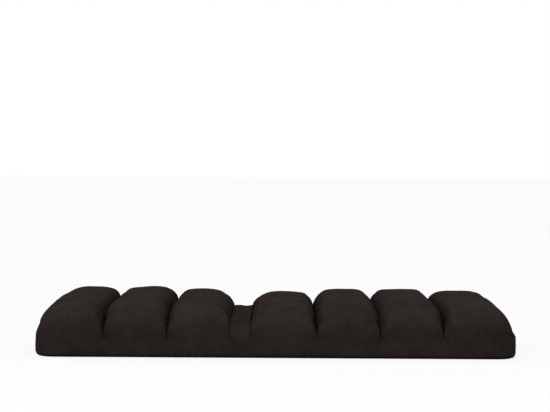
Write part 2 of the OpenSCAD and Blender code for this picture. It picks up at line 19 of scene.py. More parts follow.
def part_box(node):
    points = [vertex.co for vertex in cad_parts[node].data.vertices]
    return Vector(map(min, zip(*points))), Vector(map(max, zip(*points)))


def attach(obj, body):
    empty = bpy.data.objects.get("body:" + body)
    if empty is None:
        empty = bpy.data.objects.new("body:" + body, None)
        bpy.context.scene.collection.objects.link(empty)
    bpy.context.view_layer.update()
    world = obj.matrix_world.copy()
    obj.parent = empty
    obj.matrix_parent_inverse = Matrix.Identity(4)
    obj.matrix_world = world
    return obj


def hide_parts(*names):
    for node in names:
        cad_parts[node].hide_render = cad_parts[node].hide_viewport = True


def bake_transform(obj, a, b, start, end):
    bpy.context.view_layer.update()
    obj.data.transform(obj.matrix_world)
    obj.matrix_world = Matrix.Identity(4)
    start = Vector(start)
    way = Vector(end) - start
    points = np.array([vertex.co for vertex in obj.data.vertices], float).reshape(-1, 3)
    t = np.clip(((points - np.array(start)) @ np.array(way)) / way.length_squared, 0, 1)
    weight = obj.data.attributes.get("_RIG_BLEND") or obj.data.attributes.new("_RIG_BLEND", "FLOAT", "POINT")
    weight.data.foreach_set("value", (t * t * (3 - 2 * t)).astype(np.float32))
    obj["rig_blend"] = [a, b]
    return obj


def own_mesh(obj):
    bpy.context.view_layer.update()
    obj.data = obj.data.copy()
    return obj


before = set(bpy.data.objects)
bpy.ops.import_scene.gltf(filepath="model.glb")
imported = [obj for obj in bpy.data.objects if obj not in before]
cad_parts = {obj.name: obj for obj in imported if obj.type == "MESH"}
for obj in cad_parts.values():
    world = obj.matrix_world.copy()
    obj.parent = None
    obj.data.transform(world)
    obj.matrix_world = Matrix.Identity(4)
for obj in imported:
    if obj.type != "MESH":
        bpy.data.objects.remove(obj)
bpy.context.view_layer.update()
log = logging.getLogger("floor_chair")

MM = 0.001
CLOTH_PLACE = "cloth_place"
# The attribute below carries painted shade: the cloth is darker in creases and lower down, and lighter on
# crowns. The number after it is the even level of that painted shade on cloth without creases.
SHADE_ATTRIBUTE = "painted_shade"
EVEN_SHADE = 0.84
TINY = 1e-9
WALL_EDGE = math.radians(50)
SKIN_EDGE = math.radians(60)

Pair = tuple[float, float]
Triple = tuple[float, float, float]
Color = Triple
Array = np.ndarray
Amount = float | Array

NOISE_SPAN: Pair = (0.3, 0.7)
WHITE = (1.0, 1.0, 1.0, 1.0)


# Shader graphs


class Value:
    """An output socket, wrapped so that Python expressions on it add Math nodes."""

    def __init__(self, graph: "Nodes", socket: bpy.types.NodeSocket) -> None:
        """Wraps an output socket of the graph."""
        self.graph = graph
        self.socket = socket

    def _math(self, operation: str, first: Any, second: Any) -> "Value":
        """The result of a Math node on two values or links."""
        settings = {"operation": operation}
        return self.graph.add("ShaderNodeMath", settings, {0: first, 1: second}).value(0)

    def __add__(self, other: Any) -> "Value":
        """This plus other."""
        return self._math("ADD", self, other)

    __radd__ = __add__

    def __sub__(self, other: Any) -> "Value":
        """This minus other."""
        return self._math("SUBTRACT", self, other)

    def __rsub__(self, other: Any) -> "Value":
        """Other minus this."""
        return self._math("SUBTRACT", other, self)

    def __mul__(self, other: Any) -> "Value":
        """This times other."""
        return self._math("MULTIPLY", self, other)

    __rmul__ = __mul__


class Placed:
    """A node that was added to a graph."""

    def __init__(self, graph: "Nodes", node: bpy.types.Node) -> None:
        """Wraps the node."""
        self.graph = graph
        self.node = node

    def value(self, name: Any) -> Value:
        """The output socket of that name or number."""
        return Value(self.graph, self.node.outputs[name])


class Nodes:
    """A node tree that is built in code."""

    def __init__(self, tree: bpy.types.NodeTree) -> None:
        """Empties the tree that the nodes go into."""
        self.tree = tree
        tree.nodes.clear()

    def add(
        self, kind: str, settings: Optional[dict] = None, sockets: Optional[dict] = None
    ) -> Placed:
        """Adds one node.

        Args:
            kind: the node's type.
            settings: its properties, and "stops" for a ramp's places and colours.
            sockets: values or links of its inputs, by name or number.

        Returns:
            The node, wrapped.
        """
        node = self.tree.nodes.new(kind)
        for key, setting in (settings or {}).items():
            if key == "stops":
                self._set_stops(node.color_ramp, setting)
            else:
                setattr(node, key, setting)
        for key, given in (sockets or {}).items():
            if isinstance(given, Value):
                self.tree.links.new(given.socket, node.inputs[key])
            else:
                node.inputs[key].default_value = given
        return Placed(self, node)

    @staticmethod
    def _set_stops(ramp: bpy.types.ColorRamp, stops: Sequence[tuple[float, Color]]) -> None:
        """Gives a ramp its stops.

        Args:
            ramp: the node's ramp.
            stops: the place and colour of each.
        """
        while len(ramp.elements) < len(stops):
            ramp.elements.new(1.0)
        for element, (place, color) in zip(ramp.elements, stops):
            element.position = place
            element.color = (*color, 1.0)

    def spread(self, height: Value, low: float, high: float, to: Pair) -> Value:
        """Maps height from low to high onto another range, clamped."""
        sockets = {0: height, 1: low, 2: high, 3: to[0], 4: to[1]}
        return self.add("ShaderNodeMapRange", {"clamp": True}, sockets).value(0)

    def mix_shaders(self, share: Any, first: Value, second: Value) -> Value:
        """Mixes two shaders by the share of the second."""
        return self.add("ShaderNodeMixShader", {}, {0: share, 1: first, 2: second}).value(0)


class Graph(Nodes):
    """A material's node tree."""

    # A Mix node's colour sockets go by number, because its names repeat
    MIX_FIRST = 6
    MIX_SECOND = 7
    MIXED = 2

    def __init__(self, name: str) -> None:
        """Starts an empty material.

        Args:
            name: the material's name.
        """
        self.material = bpy.data.materials.new(name)
        self.material.use_nodes = True
        super().__init__(self.material.node_tree)

    def shades(self, height: Value, color: Color, stops: Sequence[Pair]) -> Value:
        """A ramp over height, from the place of each stop and how far it scales the colour."""
        made = [(place, scaled(color, factor)) for place, factor in stops]
        return self.add("ShaderNodeValToRGB", {"stops": made}, {0: height}).value(0)

    def mix(self, share: Value, first: Value, second: Color) -> Value:
        """Mixes a colour into a colour link.

        Args:
            share: how much of the second there is.
            first: the link.
            second: the colour.

        Returns:
            The mixed colour.
        """
        settings = {"data_type": "RGBA", "blend_type": "MIX", "clamp_result": True}
        sockets = {0: share, self.MIX_FIRST: first, self.MIX_SECOND: rgba(second)}
        return self.add("ShaderNodeMix", settings, sockets).value(self.MIXED)

    def bump(self, height: Value, relief: Pair, under: Optional[Value] = None) -> Value:
        """Adds a bump.

        Args:
            height: the height that it follows.
            relief: its strength and its distance.
            under: another bump that it lies on.

        Returns:
            The bumped normal.
        """
        sockets = {"Height": height, "Strength": relief[0], "Distance": relief[1]}
        if under is not None:
            sockets["Normal"] = under
        return self.add("ShaderNodeBump", {}, sockets).value(0)

    def cloth_place(self) -> Value:
        """Where a point of the cloth lies at rest, from the piece's own attribute."""
        return self.add("ShaderNodeAttribute", {"attribute_name": CLOTH_PLACE}).value("Vector")

    def painted_shade(self) -> Value:
        """The level of painted shade on the cloth, from its attribute: darker deep in a crease and lower
        down, lighter on a crown.
        """
        return self.add("ShaderNodeAttribute", {"attribute_name": SHADE_ATTRIBUTE}).value("Fac")

    def object_place(self) -> Value:
        """Object coordinates."""
        return self.add("ShaderNodeTexCoord").value("Object")

    def finish(self, sockets: dict) -> bpy.types.Material:
        """Ends the graph in one principled shader.

        Args:
            sockets: values or links of the shader's inputs.

        Returns:
            The material.
        """
        shader = self.add("ShaderNodeBsdfPrincipled", {}, sockets)
        self.add("ShaderNodeOutputMaterial", {}, {"Surface": shader.value(0)})
        return self.material


def rgba(color: Color) -> tuple[float, float, float, float]:
    """A colour with alpha."""
    return (*color, 1.0)


def scaled(color: Color, factor: float) -> Color:
    """A colour made lighter or darker."""
    return tuple(min(1.0, part * factor) for part in color)


# Finishes


@dataclass(frozen=True)
class Noise:
    """Noise of about 0.25 to 0.75: the size of its blotches, its layers, its warp, its stretch."""

    size: float
    layers: float = 3.0
    warp: float = 0.0
    stretch: Triple = (1.0, 1.0, 1.0)

    def on(self, graph: Graph, place: Value) -> Value:
        """Adds the noise to a graph.

        Args:
            graph: the graph.
            place: the coordinates, in metres.

        Returns:
            The noise's height.
        """
        drawn = graph.add("ShaderNodeMapping", {}, {"Vector": place, "Scale": self.stretch})
        return graph.add("ShaderNodeTexNoise", {}, {
            "Vector": drawn.value(0),
            "Scale": 1 / self.size,
            "Detail": self.layers,
            "Distortion": self.warp,
        }).value(0)


class Finish:
    """A surface finish. Each finish builds its material once."""

    made: ClassVar[dict["Finish", bpy.types.Material]] = {}

    def build(self) -> bpy.types.Material:
        """Makes the material."""
        raise NotImplementedError

    def material(self) -> bpy.types.Material:
        """The finish's material.

        Returns:
            The material, built when it is first asked for.
        """
        if self not in self.made:
            self.made[self] = self.build()
        return self.made[self]

    def paint(self, piece: bpy.types.Object) -> None:
        """Puts the finish on a piece, in place of any other."""
        piece.data.materials.clear()
        piece.data.materials.append(self.material())


@dataclass(frozen=True)
class Suede(Finish):
    """Brushed micro-suede: short nap that lies in patches, with a soft sheen."""

    name: str
    color: Color
    patches: Noise = Noise(70 * MM, warp=0.6)
    streaks: Noise = Noise(16 * MM, layers=4.0, warp=0.8, stretch=(1.0, 0.4, 1.0))
    grain: Noise = Noise(3.2 * MM, stretch=(1.0, 0.55, 1.0))
    fibres: Noise = Noise(0.9 * MM, layers=2.0)
    shares: Triple = (0.5, 0.3, 0.2)
    shade_stops: tuple[Pair, ...] = ((0.36, 0.78), (0.5, 1.0), (0.64, 1.22))
    fibre_tones: Pair = (0.8, 1.22)
    # Painted shade: how far the colour is scaled, darkest in creases and low down, lightest on crowns.
    painted_shade_tones: Pair = (0.36, 1.1)
    nap_span: Pair = (0.35, 0.65)
    rough: Pair = (0.97, 0.86)
    grain_relief: Pair = (0.35, 0.5 * MM)
    fibre_relief: Pair = (0.45, 0.25 * MM)
    sheen: float = 0.015
    sheen_rough: float = 0.45
    sheen_color: Color = (0.62, 0.56, 0.5)

    def build(self) -> bpy.types.Material:
        """Makes the material, on the cloth's own place.

        Returns:
            The suede's material.
        """
        graph = Graph(self.name)
        place = graph.cloth_place()
        patches, streaks = self.patches.on(graph, place), self.streaks.on(graph, place)
        grain, fibres = self.grain.on(graph, place), self.fibres.on(graph, place)
        patchy, streaky, grainy = self.shares
        nap = patches * patchy + streaks * streaky + grain * grainy
        tone = graph.spread(fibres, *NOISE_SPAN, self.fibre_tones)
        # Painted shade: the colour darkens in the creases and towards the foot, and lightens on the crowns.
        tone = tone * graph.spread(graph.painted_shade(), 0.0, 1.0, self.painted_shade_tones)
        base = graph.shades(nap, self.color, self.shade_stops)
        scale = {"operation": "SCALE"}
        toned = graph.add("ShaderNodeVectorMath", scale, {0: base, "Scale": tone})
        return graph.finish({
            "Base Color": toned.value(0),
            "Roughness": graph.spread(nap, *self.nap_span, self.rough),
            "Normal": graph.bump(fibres, self.fibre_relief, graph.bump(grain, self.grain_relief)),
            "Specular IOR Level": 0.0,
            "Sheen Weight": self.sheen,
            "Sheen Roughness": self.sheen_rough,
            "Sheen Tint": rgba(self.sheen_color),
        })


@dataclass(frozen=True)
class NonSlip(Finish):
    """Dark non-woven cloth of the underside, with a pressed grid."""

    name: str
    color: Color
    cell: float = 2.4 * MM
    own_place: bool = True
    fibres: Noise = Noise(1.1 * MM, warp=0.4)
    felt: Noise = Noise(18 * MM, warp=0.5)
    felt_stops: tuple[Pair, ...] = ((0.35, 0.8), (0.65, 1.25))
    pressed_span: Pair = (0.3, 0.5)
    pressed_share: float = 0.35
    pressed_tone: float = 0.55
    stray_span: Pair = (0.35, 0.7)
    stray_share: float = 0.3
    stray_tone: float = 1.8
    rough: Pair = (0.95, 0.84)
    relief: Pair = (0.6, 0.3 * MM)
    specular: float = 0.05

    def build(self) -> bpy.types.Material:
        """Makes the material, on the cloth's own place or on Object coordinates.

        Returns:
            The cloth's material.
        """
        graph = Graph(self.name)
        place = graph.cloth_place() if self.own_place else graph.object_place()
        fibres, felt = self.fibres.on(graph, place), self.felt.on(graph, place)
        cells = graph.add(
            "ShaderNodeTexVoronoi",
            {"feature": "F1", "distance": "CHEBYCHEV"},
            {"Vector": place, "Scale": 1 / self.cell, "Randomness": 0.0},
        ).value("Distance")
        pressed = graph.spread(cells, *self.pressed_span, (0.0, 1.0))
        tone = graph.shades(felt, self.color, self.felt_stops)
        tone = graph.mix(pressed * self.pressed_share, tone, scaled(self.color, self.pressed_tone))
        stray = graph.spread(fibres, *self.stray_span, (0.0, self.stray_share))
        return graph.finish({
            "Base Color": graph.mix(stray, tone, scaled(self.color, self.stray_tone)),
            "Roughness": graph.spread(felt, *NOISE_SPAN, self.rough),
            "Normal": graph.bump(fibres * 0.5 + (1 - pressed) * 0.5, self.relief),
            "Specular IOR Level": self.specular,
        })


@dataclass(frozen=True)
class Plain(Finish):
    """A finish with one fine mottle: soft vinyl, sewing thread or moulded nylon."""

    name: str
    color: Color
    mottle: Noise
    stops: tuple[Pair, ...]
    rough: Pair
    relief: Pair
    others: tuple[tuple[str, float], ...] = ()

    def build(self) -> bpy.types.Material:
        """Makes the material, whose colour, roughness and bump follow the one mottle.

        Returns:
            The mottled material.
        """
        graph = Graph(self.name)
        mottle = self.mottle.on(graph, graph.object_place())
        return graph.finish({
            "Base Color": graph.shades(mottle, self.color, self.stops),
            "Roughness": graph.spread(mottle, *NOISE_SPAN, self.rough),
            "Normal": graph.bump(mottle, self.relief),
            **dict(self.others),
        })


@dataclass(frozen=True)
class Foam(Finish):
    """Open-cell foam."""

    name: str
    color: Color
    cell: float = 1.6 * MM
    age: Noise = Noise(90 * MM)
    age_stops: tuple[Pair, ...] = ((0.35, 1.0), (0.7, 0.8))
    pore_span: Pair = (0.0, 0.4)
    pore_share: float = 0.45
    pore_tone: float = 0.45
    rough_span: Pair = (0.0, 0.6)
    rough: Pair = (1.0, 0.85)
    relief: Pair = (0.8, 0.5 * MM)

    def build(self) -> bpy.types.Material:
        """Makes the material, with its pores and its ageing.

        Returns:
            The foam's material.
        """
        graph = Graph(self.name)
        place = graph.object_place()
        sockets = {"Vector": place, "Scale": 1 / self.cell}
        cells = graph.add("ShaderNodeTexVoronoi", {"feature": "F1"}, sockets).value("Distance")
        tone = graph.shades(self.age.on(graph, place), self.color, self.age_stops)
        pores = graph.spread(cells, *self.pore_span, (self.pore_share, 0.0))
        return graph.finish({
            "Base Color": graph.mix(pores, tone, scaled(self.color, self.pore_tone)),
            "Roughness": graph.spread(cells, *self.rough_span, self.rough),
            "Normal": graph.bump(cells, self.relief),
        })


@dataclass(frozen=True)
class Metal(Finish):
    """Steel: plated, brushed or painted."""

    name: str
    color: Color
    rough: float
    metallic: float = 1.0
    scratch: Triple = (0.1, 1.0, 1.0)
    coat: float = 0.0
    line: float = 0.6 * MM
    line_span: Pair = (0.45, 0.75)
    line_share: float = 0.35
    line_tone: float = 0.6
    stain: Noise = Noise(14 * MM, layers=4.0, warp=0.7)
    stain_stops: tuple[Pair, ...] = ((0.35, 0.82), (0.65, 1.1))
    rough_swing: Pair = (1.2, 0.8)
    relief: Pair = (0.15, 0.05 * MM)

    def build(self) -> bpy.types.Material:
        """Makes the material, with its scratches and stains.

        Returns:
            The steel's material.
        """
        graph = Graph(self.name)
        place = graph.object_place()
        lines = Noise(self.line, stretch=self.scratch).on(graph, place)
        tone = graph.shades(self.stain.on(graph, place), self.color, self.stain_stops)
        scratches = graph.spread(lines, *self.line_span, (0.0, self.line_share))
        rough = tuple(self.rough * swing for swing in self.rough_swing)
        return graph.finish({
            "Base Color": graph.mix(scratches, tone, scaled(self.color, self.line_tone)),
            "Metallic": self.metallic,
            "Roughness": graph.spread(lines, *NOISE_SPAN, rough),
            "Normal": graph.bump(lines, self.relief),
            "Coat Weight": self.coat,
        })


BROWN: Color = (0.0262, 0.0203, 0.0178)
TOP_SUEDE = Suede("cover_top_suede", BROWN)
# The side's suede is the top's suede painted darker: painted shade on the side faces.
SHADED_SIDE_SUEDE = Suede(
    "cover_side_shaded_suede", scaled(BROWN, 0.86),
    streaks=Noise(22 * MM, layers=4.0, warp=0.8, stretch=(1.0, 0.4, 1.0)),
)
UNDER_CLOTH = NonSlip("underside_cloth", (0.030, 0.030, 0.031))
# The edge tape is real, but its near-black colour is partly painted shadow: it stands in for the contact
# shadow at the floor.
EDGE_TAPE_AND_SHADOW = NonSlip("edge_tape", (0.0024, 0.0022, 0.0021), cell=1.2 * MM)
BACKING = NonSlip("backing_cloth", (0.09, 0.085, 0.08), own_place=False)
GRIP_DOTS = Plain(
    "grip_dots", (0.012, 0.012, 0.0125), mottle=Noise(6 * MM, layers=4.0),
    stops=((0.4, 1.0), (0.7, 1.9)), rough=(0.5, 0.68), relief=(0.2, 0.1 * MM),
)
BROWN_THREAD = Plain(
    "brown_thread", (0.024, 0.0185, 0.0162),
    mottle=Noise(0.7 * MM, layers=2.0, stretch=(1.0, 1.0, 2.5)),
    stops=((0.35, 0.7), (0.65, 1.0)), rough=(0.75, 0.55), relief=(0.6, 0.15 * MM),
    others=(("Specular IOR Level", 0.05),),
)
CORE_FOAM = Foam("core_foam", (0.72, 0.64, 0.36))
TUBE_PAINT = Metal(
    "tube_paint", (0.03, 0.03, 0.032), rough=0.38, metallic=0.0, scratch=(1.0, 1.0, 1.0), coat=0.4
)
ZINC = Metal("zinc_plate", (0.5, 0.51, 0.53), rough=0.34)
RATCHET_STEEL = Metal("ratchet_steel", (0.3, 0.31, 0.33), rough=0.4, scratch=(1.0, 1.0, 0.15))
RIVET_STEEL = Metal("rivet_steel", (0.6, 0.61, 0.63), rough=0.28, scratch=(1.0, 0.2, 1.0))
WASHER_NYLON = Plain(
    "washer_nylon", (0.8, 0.79, 0.75), mottle=Noise(2.5 * MM),
    stops=((0.4, 0.9), (0.65, 1.0)), rough=(0.5, 0.38), relief=(0.1, 0.05 * MM),
    others=(("Subsurface Weight", 0.1),),
)

# The CAD nodes that stay, with their finish and the name of their slot
INNER_FINISHES: tuple[tuple[Finish, str, tuple[str, ...]], ...] = (
    (TUBE_PAINT, "frame_tube", (
        "seat_frame", "seat_cross_bars", "back_side_rails", "back_cross_bars", "head_frame",
    )),
    (BACKING, "backing", ("seat_backing_cloth", "back_backing_cloth", "head_backing_cloth")),
    (ZINC, "zinc_plate", (
        "hinge_outer_plates", "hinge_inner_plates", "pawl_springs", "head_hinge_back_arms",
    )),
    (RIVET_STEEL, "rivet_steel", ("hinge_pivot_rivets", "pawl_pins", "head_hinge_rivets")),
    (WASHER_NYLON, "nylon", ("hinge_washers", "head_friction_washers")),
    (RATCHET_STEEL, "ratchet_steel", ("ratchet_discs", "pawls", "head_hinge_head_arms")),
)


# Curves and wrinkles


class Waves:
    """Smooth seeded noise on points: a sum of sines, about -1 to 1."""

    COUNT = 26
    LENGTHS: Pair = (0.7, 1.5)

    def __init__(self, seed: int, length: float, stretch: Triple) -> None:
        """Draws the waves.

        Args:
            seed: the fixed seed.
            length: their mean length, in metres.
            stretch: how much longer they are along each axis.
        """
        draw = np.random.default_rng(seed)
        ways = draw.normal(size=(self.COUNT, 3))
        ways /= np.linalg.norm(ways, axis=1)[:, None]
        lengths = length * draw.uniform(*self.LENGTHS, self.COUNT)
        self.ways = ways * (2 * math.pi / lengths)[:, None] / np.array(stretch, float)
        self.starts = draw.uniform(0, 2 * math.pi, self.COUNT)

    def __call__(self, points: Array) -> Array:
        """The noise at each point."""
        return np.sin(points @ self.ways.T + self.starts).sum(1) / math.sqrt(2 * self.COUNT)


@dataclass(frozen=True)
class Wrinkle:
    """One kind of wrinkle: how high it stands, its waves, and the band that it lies in."""

    height: float
    length: float
    stretch: Triple = (1.0, 1.0, 1.0)
    middle: float = 0.0
    width: float = 1.0

    def relief(self, seed: int, points: Array) -> Array:
        """How far its waves move each point."""
        return self.height * Waves(seed, self.length, self.stretch)(points)

    def band(self, places: Array) -> Array:
        """How much of it there is at places across its band."""
        return bell(places, self.middle, self.width)


def smooth(values: Array, low: float, high: float) -> Array:
    """Smooth step from 0 at low to 1 at high."""
    share = np.clip((values - low) / (high - low), 0, 1)
    return share * share * (3 - 2 * share)


def bell(values: Array, middle: float, width: float) -> Array:
    """A bell curve of that middle and width."""
    return np.exp(-(((values - middle) / width) ** 2))


def bow(places: Array, crown: Amount, foot: Amount) -> Array:
    """Height share of an arch at places from -1 to 1, with a power for its crown and its foot."""
    return np.clip(1 - np.abs(places) ** crown, 0, None) ** (1 / foot)


def arch(places: Array, power: Amount) -> Array:
    """Height share of an arch with one power, and so a vertical foot at each end."""
    return bow(places, power, power)


def fine_places(count: int) -> Array:
    """Places from -1 to 1, closer together at both ends."""
    return np.sin(np.linspace(-math.pi / 2, math.pi / 2, count))


def even_places(across: Array, up: Array, places: Array, count: int) -> tuple[Array, float]:
    """Picks that many places at even steps along a curve, and gives the curve's length too."""
    run = np.concatenate([[0], np.cumsum(np.hypot(np.diff(across), np.diff(up)))])
    return np.interp(np.linspace(0, run[-1], count), run, places), float(run[-1])


# Meshes


def grid_faces(rows: int, cols: int) -> list[tuple[int, ...]]:
    """Faces of a grid of points stored row by row, facing up with rows on +X and cols on +Y."""
    corners = [i * cols + j for i in range(rows - 1) for j in range(cols - 1)]
    return [(k, k + cols, k + cols + 1, k + 1) for k in corners]


def stand(name: str, data: bpy.types.ID) -> bpy.types.Object:
    """Makes an object and links it to the scene.

    Args:
        name: its name.
        data: its mesh, lamp or camera.

    Returns:
        The object, at the origin.
    """
    piece = bpy.data.objects.new(name, data)
    bpy.context.scene.collection.objects.link(piece)
    return piece


def make_piece(name: str, points: Array, faces: Sequence[Sequence[int]]) -> bpy.types.Object:
    """Makes a smooth-shaded mesh object.

    Args:
        name: the piece's name.
        points: its vertices, in metres.
        faces: its faces.

    Returns:
        The object, linked to the scene.
    """
    mesh = bpy.data.meshes.new(name)
    mesh.from_pydata([tuple(p) for p in np.asarray(points, float)], [], [tuple(f) for f in faces])
    mesh.validate()
    mesh.polygons.foreach_set("use_smooth", [True] * len(mesh.polygons))
    return stand(name, mesh)


def read_numbers(items: bpy.types.bpy_prop_collection, key: str, width: int) -> Array:
    """Reads one property of each item.

    Args:
        items: vertices, normals or an attribute's values.
        key: the property's name.
        width: how many numbers it holds.

    Returns:
        One row of that width for each item.
    """
    flat = np.zeros(len(items) * width, np.float32)
    items.foreach_get(key, flat)
    return flat.reshape(-1, width).astype(float)


def points_of(piece: bpy.types.Object) -> Array:
    """A piece's vertices as an array."""
    return read_numbers(piece.data.vertices, "co", 3)


def normals_of(piece: bpy.types.Object) -> Array:
    """A piece's vertex normals as an array."""
    return read_numbers(piece.data.vertex_normals, "vector", 3)


def read_attribute(piece: bpy.types.Object, name: str) -> Array:
    """The number stored for each vertex."""
    return read_numbers(piece.data.attributes[name].data, "value", 1)[:, 0]


def set_points(piece: bpy.types.Object, points: Array) -> None:
    """Moves a piece's vertices."""
    piece.data.vertices.foreach_set("co", points.astype(np.float32).ravel())
    piece.data.update()


def write_attribute(piece: bpy.types.Object, name: str, values: Array) -> None:
    """Stores a number or a vector for each vertex.

    Args:
        piece: the mesh object.
        name: the attribute's name.
        values: one number, or three, for each vertex.
    """
    kind, key = ("FLOAT_VECTOR", "vector") if values.ndim == 2 else ("FLOAT", "value")
    attributes = piece.data.attributes
    made = attributes.get(name) or attributes.new(name, kind, "POINT")
    made.data.foreach_set(key, values.astype(np.float32).ravel())


def settle(piece: bpy.types.Object) -> None:
    """Applies a piece's modifiers to its mesh.

    Args:
        piece: the mesh object.
    """
    depsgraph = bpy.context.evaluated_depsgraph_get()
    done = bpy.data.meshes.new_from_object(piece.evaluated_get(depsgraph))
    old = piece.data
    piece.modifiers.clear()
    piece.data = done
    done.name = piece.name
    bpy.data.meshes.remove(old)


def thicken(piece: bpy.types.Object, thickness: float) -> None:
    """Gives an open sheet a thickness on the side away from its normals.

    Args:
        piece: the sheet.
        thickness: the thickness, in metres.
    """
    wall = piece.modifiers.new("wall", "SOLIDIFY")
    wall.thickness = thickness
    wall.offset = -1.0
    wall.use_even_offset = True
    settle(piece)
    piece.data.set_sharp_from_angle(angle=WALL_EDGE)


def finish_cloth(piece: bpy.types.Object, painted_shade: Optional[Array] = None) -> None:
    """Stores what the cloth's material reads: the place at rest, and the level of painted shade.

    Args:
        piece: the piece of cloth.
        painted_shade: the level of painted shade at each vertex, or None for one even level all over.
    """
    write_attribute(piece, CLOTH_PLACE, points_of(piece))
    if painted_shade is None:
        painted_shade = np.full(len(piece.data.vertices), EVEN_SHADE)
    write_attribute(piece, SHADE_ATTRIBUTE, painted_shade)


def report(piece: bpy.types.Object, where: str) -> None:
    """Reports a finished piece."""
    log.info("%s: %d faces, on %s", piece.name, len(piece.data.polygons), where)


# What repeats: stitches and grip dots


class Pattern(Nodes):
    """A Geometry Nodes tree that sets copies of one small shape on a piece."""

    SEGMENTS = 8

    def __init__(self, name: str, sizes: Sequence[str]) -> None:
        """Starts a tree.

        Args:
            name: the tree's name.
            sizes: the names of its inputs that are sizes.
        """
        super().__init__(bpy.data.node_groups.new(name, "GeometryNodeTree"))
        face = self.tree.interface
        face.new_socket("Geometry", in_out="INPUT", socket_type="NodeSocketGeometry")
        for label in sizes:
            face.new_socket(label, in_out="INPUT", socket_type="NodeSocketFloat")
        face.new_socket("Material", in_out="INPUT", socket_type="NodeSocketMaterial")
        face.new_socket("Geometry", in_out="OUTPUT", socket_type="NodeSocketGeometry")
        self.given = self.add("NodeGroupInput")

    def small_ball(self, length: Value, width: Value, height: Value, rings: int) -> Value:
        """Makes a small rounded shape.

        Args:
            length: its half size along X.
            width: its half size along Y.
            height: its half size along Z.
            rings: how many rings it has.

        Returns:
            The shape.
        """
        sockets = {"Segments": self.SEGMENTS, "Rings": rings, "Radius": 1.0}
        ball = self.add("GeometryNodeMeshUVSphere", {}, sockets)
        sizes = self.add("ShaderNodeCombineXYZ", {}, {0: length, 1: width, 2: height}).value(0)
        sockets = {"Geometry": ball.value(0), "Scale": sizes}
        return self.add("GeometryNodeTransform", {}, sockets).value(0)

    def end(self, placed: dict[str, Value]) -> None:
        """Sets the copies, makes them real, gives them their material and ends the tree.

        Args:
            placed: links of the places, the shape and its turn.
        """
        copies = self.add("GeometryNodeInstanceOnPoints", {}, placed).value(0)
        real = self.add("GeometryNodeRealizeInstances", {}, {0: copies}).value(0)
        sockets = {"Geometry": real, "Material": self.given.value("Material")}
        painted = self.add("GeometryNodeSetMaterial", {}, sockets).value(0)
        sockets = {"Geometry": painted, "Shade Smooth": True}
        shaded = self.add("GeometryNodeSetShadeSmooth", {}, sockets).value(0)
        self.add("NodeGroupOutput", {}, {0: shaded})

    def run(self, piece: bpy.types.Object, values: dict[str, Any]) -> None:
        """Turns a piece into its copies.

        Args:
            piece: the object whose mesh carries the places.
            values: the value of each named input.
        """
        modifier = piece.modifiers.new("pattern", "NODES")
        modifier.node_group = self.tree
        for item in self.tree.interface.items_tree:
            if item.in_out == "INPUT" and item.name in values:
                modifier[item.identifier] = values[item.name]
        settle(piece)


class StitchPattern(Pattern):
    """Stitches at even steps along the edges of a piece."""

    RINGS = 5

    def __init__(self) -> None:
        """Builds the tree."""
        super().__init__("stitches", ("Pitch", "Half length", "Radius"))
        curve = self.add("GeometryNodeMeshToCurve", {}, {"Mesh": self.given.value("Geometry")})
        sockets = {"Curve": curve.value(0), "Length": self.given.value("Pitch")}
        places = self.add("GeometryNodeResampleCurve", {"mode": "LENGTH"}, sockets).value(0)
        radius = self.given.value("Radius")
        stitch = self.small_ball(self.given.value("Half length"), radius, radius, self.RINGS)
        along = self.add("GeometryNodeInputTangent").value(0)
        turn = self.add("FunctionNodeAlignRotationToVector", {"axis": "X"}, {"Vector": along})
        self.end({"Points": places, "Instance": stitch, "Rotation": turn.value(0)})


class DotPattern(Pattern):
    """Low round dots on the points of a piece."""

    RINGS = 4

    def __init__(self) -> None:
        """Builds the tree."""
        super().__init__("grip_dots", ("Radius", "Half height"))
        radius = self.given.value("Radius")
        dot = self.small_ball(radius, radius, self.given.value("Half height"), self.RINGS)
        self.end({"Points": self.given.value("Geometry"), "Instance": dot})


@dataclass
class Sewing:
    """Rows of stitches on the cover."""

    pitch: float = 6.4 * MM
    length: float = 4.6 * MM
    thread: float = 0.35 * MM
    pattern: StitchPattern = field(default_factory=StitchPattern)

    def sew(self, name: str, rows: Sequence[Array]) -> bpy.types.Object:
        """Sews rows of stitches.

        Args:
            name: the piece's name.
            rows: the points that each row runs through.

        Returns:
            The stitches, one mesh, not yet joined to a body.
        """
        mesh = bpy.data.meshes.new(name)
        edges, start = [], 0
        for row in rows:
            edges += [(start + k, start + k + 1) for k in range(len(row) - 1)]
            start += len(row)
        mesh.from_pydata([tuple(p) for p in np.vstack(rows)], edges, [])
        piece = stand(name, mesh)
        self.pattern.run(piece, {
            "Pitch": self.pitch,
            "Half length": self.length / 2,
            "Radius": self.thread,
            "Material": BROWN_THREAD.material(),
        })
        return piece


@dataclass
class GripDots:
    """Rows of soft vinyl dots under the chair."""

    pitch: float = 15 * MM
    radius: float = 2.3 * MM
    height: float = 0.5 * MM
    margin: float = 17 * MM
    pattern: DotPattern = field(default_factory=DotPattern)

    def print_on(self, name: str, outline: "Outline", floor: float) -> bpy.types.Object:
        """Prints the dots on one stretch of the underside.

        Args:
            name: the piece's name.
            outline: the stretch from above.
            floor: the height of the underside.

        Returns:
            The dots, one mesh, not yet joined to a body.
        """
        low, high = sorted((outline.near, outline.far))
        row_step = self.pitch * math.sqrt(3) / 2
        points = []
        for number, x in enumerate(np.arange(low + self.margin, high, row_step)):
            start = -outline.half_width + self.margin + (number % 2) * self.pitch / 2
            points += [(x, y, floor) for y in np.arange(start, outline.half_width, self.pitch)]
        places = np.array(points)
        depth, _ = outline.depth(places)
        kept = (depth > self.margin) & (np.abs(places[:, 0] - outline.near) > self.margin)
        piece = make_piece(name, places[kept], [])
        self.pattern.run(piece, {
            "Radius": self.radius,
            "Half height": self.height,
            "Material": GRIP_DOTS.material(),
        })
        return piece


# The filling


